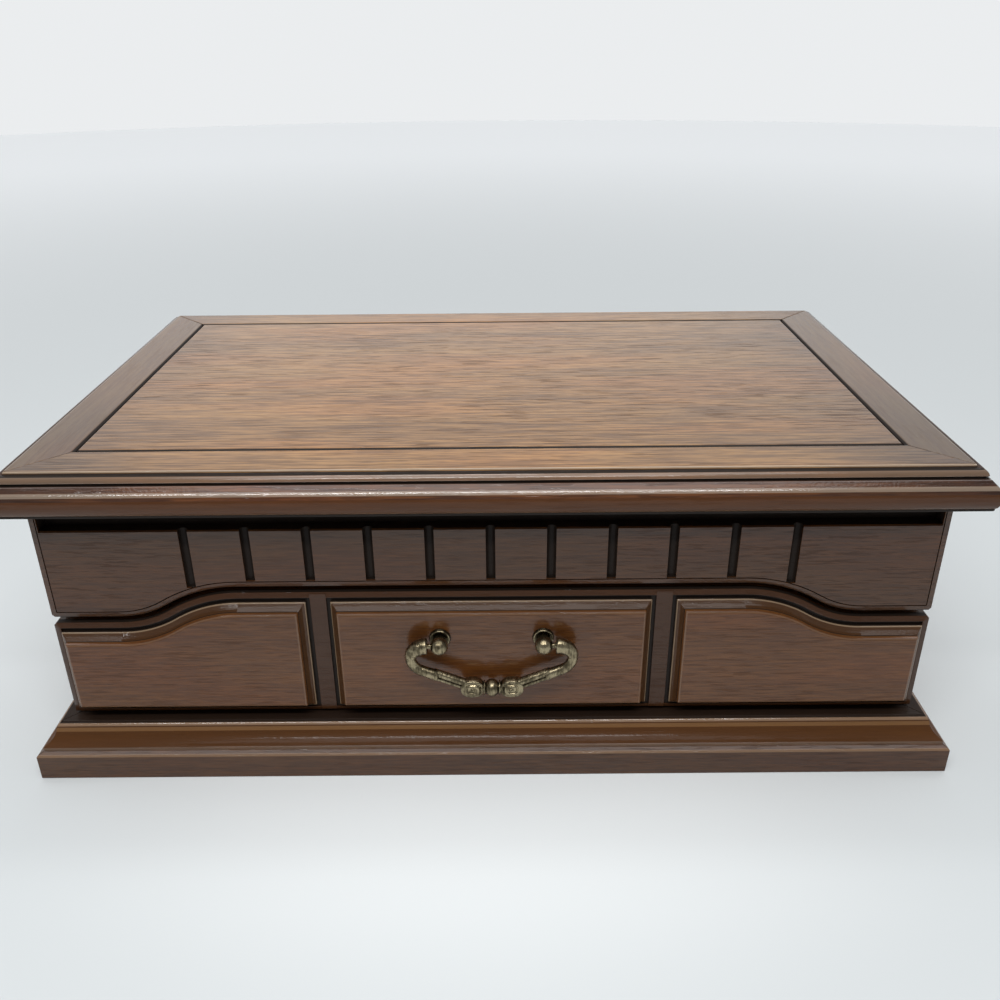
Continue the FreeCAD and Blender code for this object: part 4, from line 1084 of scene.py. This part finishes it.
class BOX_OT_stage(bpy.types.Operator):
    """Set the pale floor, the studio light and the camera"""
    bl_idname = "jewel_box.stage"
    bl_label = "Stage"

    def execute(self, context):
        stage = context.scene.box_stage
        floor = self.floor(stage)
        context.scene.world = self.world(stage)
        lights = self.lights(stage)
        self.camera(context, stage)
        context.scene.view_settings.view_transform = "Standard"
        context.scene.view_settings.look = "None"
        return {"FINISHED"}

    def floor(self, stage):
        """A wide flat pale floor, lighter towards its rim, and lighter close under the box, painted light
        against the box's shadow.
        """
        points = floor_points(FLOOR_RADIUS)
        rings, around = points.shape[:2]
        faces = ring_faces(rings, around).tolist()
        faces.append(list(range(around))[::-1])
        mesh = bpy.data.meshes.new("Floor")
        mesh.from_pydata(points.reshape(-1, 3).tolist(), [], faces)
        recipe = Recipe("Pale floor")
        where = recipe.add("ShaderNodeTexCoord").outputs["Object"]
        length = recipe.add("ShaderNodeVectorMath", Vector=where)
        length.operation = "LENGTH"
        reach = length.outputs["Value"]
        mottle = recipe.noise((3.0, 3.0, 3.0), detail=1.0)
        near = recipe.mix(mottle, colour(stage.floor_near), colour(scaled(stage.floor_near, 0.985)))
        # Painted light: the floor is lighter close under the box, against its shadow.
        near = recipe.mix(recipe.ramp(reach, 0.10, 0.25), colour(stage.floor_under), near)
        tint = recipe.mix(recipe.ramp(reach, 0.25, 2.2), near, colour(stage.floor_far))
        mesh.materials.append(recipe.finish(Base_Color=tint, Roughness=0.9, Specular_IOR_Level=0.2))
        floor = bpy.data.objects.new("Floor", mesh)
        bpy.context.collection.objects.link(floor)
        return floor

    def world(self, stage):
        """A white studio, dimmer in front of the box and overhead."""
        world = bpy.data.worlds.new("Studio")
        world.use_nodes = True
        tree = world.node_tree
        where = tree.nodes.new("ShaderNodeTexCoord")
        split = tree.nodes.new("ShaderNodeSeparateXYZ")
        back = tree.nodes["Background"]
        tree.links.new(where.outputs["Generated"], split.inputs[0])
        product = tree.nodes.new("ShaderNodeMath")
        product.operation = "MULTIPLY"
        marks = (("Y", -0.6, 0.5, stage.sky_front, stage.sky_back), ("Z", 0.10, 0.80, 1.0, stage.sky_top))
        for slot, (axis, low, high, start, end) in enumerate(marks):
            share = smooth_step(tree, split.outputs[axis], low, high, start, end)
            tree.links.new(share, product.inputs[slot])
        tree.links.new(product.outputs[0], back.inputs["Strength"])
        back.inputs["Color"].default_value = colour(stage.sky_colour)
        return world

    def lights(self, stage):
        """A wide soft light from above and two lamp strips."""
        ceiling = bpy.data.lights.new("Ceiling", "SUN")
        ceiling.energy = stage.ceiling_strength
        ceiling.angle = math.radians(CEILING_SPREAD)
        front = self.strip("Front strip", FRONT_STRIP_SIZE, stage.front_strip)
        top = self.strip("Top strip", TOP_STRIP_SIZE, stage.top_strip)
        return [
            self.lamp(ceiling, CEILING_PLACE, 0),
            self.lamp(front, FRONT_STRIP_PLACE, FRONT_STRIP_LEAN),
            self.lamp(top, TOP_STRIP_PLACE, 0),
        ]

    def strip(self, name, size, power):
        """A long narrow lamp that shines down."""
        made = bpy.data.lights.new(name, "AREA")
        made.shape = "RECTANGLE"
        made.size, made.size_y = size
        made.energy = power
        return made

    def lamp(self, data, place, lean):
        """A hung lamp that shines down and backwards by its lean, hidden from the camera."""
        light = bpy.data.objects.new(data.name, data)
        light.location = place
        light.rotation_euler = (math.radians(lean), 0.0, 0.0)
        light.visible_camera = False
        bpy.context.collection.objects.link(light)
        return light

    def camera(self, context, stage):
        """The camera where the photograph was taken from."""
        pitch, yaw, roll = stage.camera_pitch, stage.camera_yaw, stage.camera_roll
        level = math.cos(pitch)
        forward = Vector((math.sin(yaw) * level, math.cos(yaw) * level, -math.sin(pitch)))
        across = forward.cross(Vector((0.0, 0.0, 1.0))).normalized()
        down = forward.cross(across)
        right = across * math.cos(roll) + down * math.sin(roll)
        up = across * math.sin(roll) - down * math.cos(roll)
        axes = Matrix((right, up, -forward)).transposed().to_4x4()
        data = bpy.data.cameras.new("Camera")
        data.sensor_width = 36.0
        data.lens = stage.camera_lens
        data.clip_start = 0.01
        camera = bpy.data.objects.new("Camera", data)
        camera.matrix_world = Matrix.Translation(Vector(stage.camera_place)) @ axes
        bpy.context.collection.objects.link(camera)
        context.scene.camera = camera


STEPS = [
    BOX_OT_case, BOX_OT_base, BOX_OT_drawer, BOX_OT_lid, BOX_OT_inner_boards, BOX_OT_posts, BOX_OT_bail,
    BOX_OT_hinges, BOX_OT_lining, BOX_OT_ring_cushion, BOX_OT_drawer_pad, BOX_OT_stage,
]


class BOX_PT_panel(bpy.types.Panel):
    """The steps that finish the jewellery box"""
    bl_label = "Jewellery Box"
    bl_idname = "BOX_PT_panel"
    bl_space_type = "VIEW_3D"
    bl_region_type = "UI"
    bl_category = "Jewellery Box"

    def draw(self, context):
        for step in STEPS:
            self.layout.operator(step.bl_idname)


SETTINGS = [
    ("box_wood", WoodSettings),
    ("box_metal", MetalSettings),
    ("box_lining", LiningSettings),
    ("box_stage", StageSettings),
]


def register():
    """Add the settings, the steps and the panel."""
    for name, group in SETTINGS:
        bpy.utils.register_class(group)
        setattr(bpy.types.Scene, name, PointerProperty(type=group))
    for step in STEPS:
        bpy.utils.register_class(step)
    bpy.utils.register_class(BOX_PT_panel)


def unregister():
    """Take away the panel, the steps and the settings."""
    bpy.utils.unregister_class(BOX_PT_panel)
    for step in reversed(STEPS):
        bpy.utils.unregister_class(step)
    for name, group in reversed(SETTINGS):
        delattr(bpy.types.Scene, name)
        bpy.utils.unregister_class(group)


def main():
    """Run every step in order."""
    register()
    for step in STEPS:
        group, name = step.bl_idname.split(".")
        getattr(getattr(bpy.ops, group), name)()


if __name__ == "__main__":
    main()
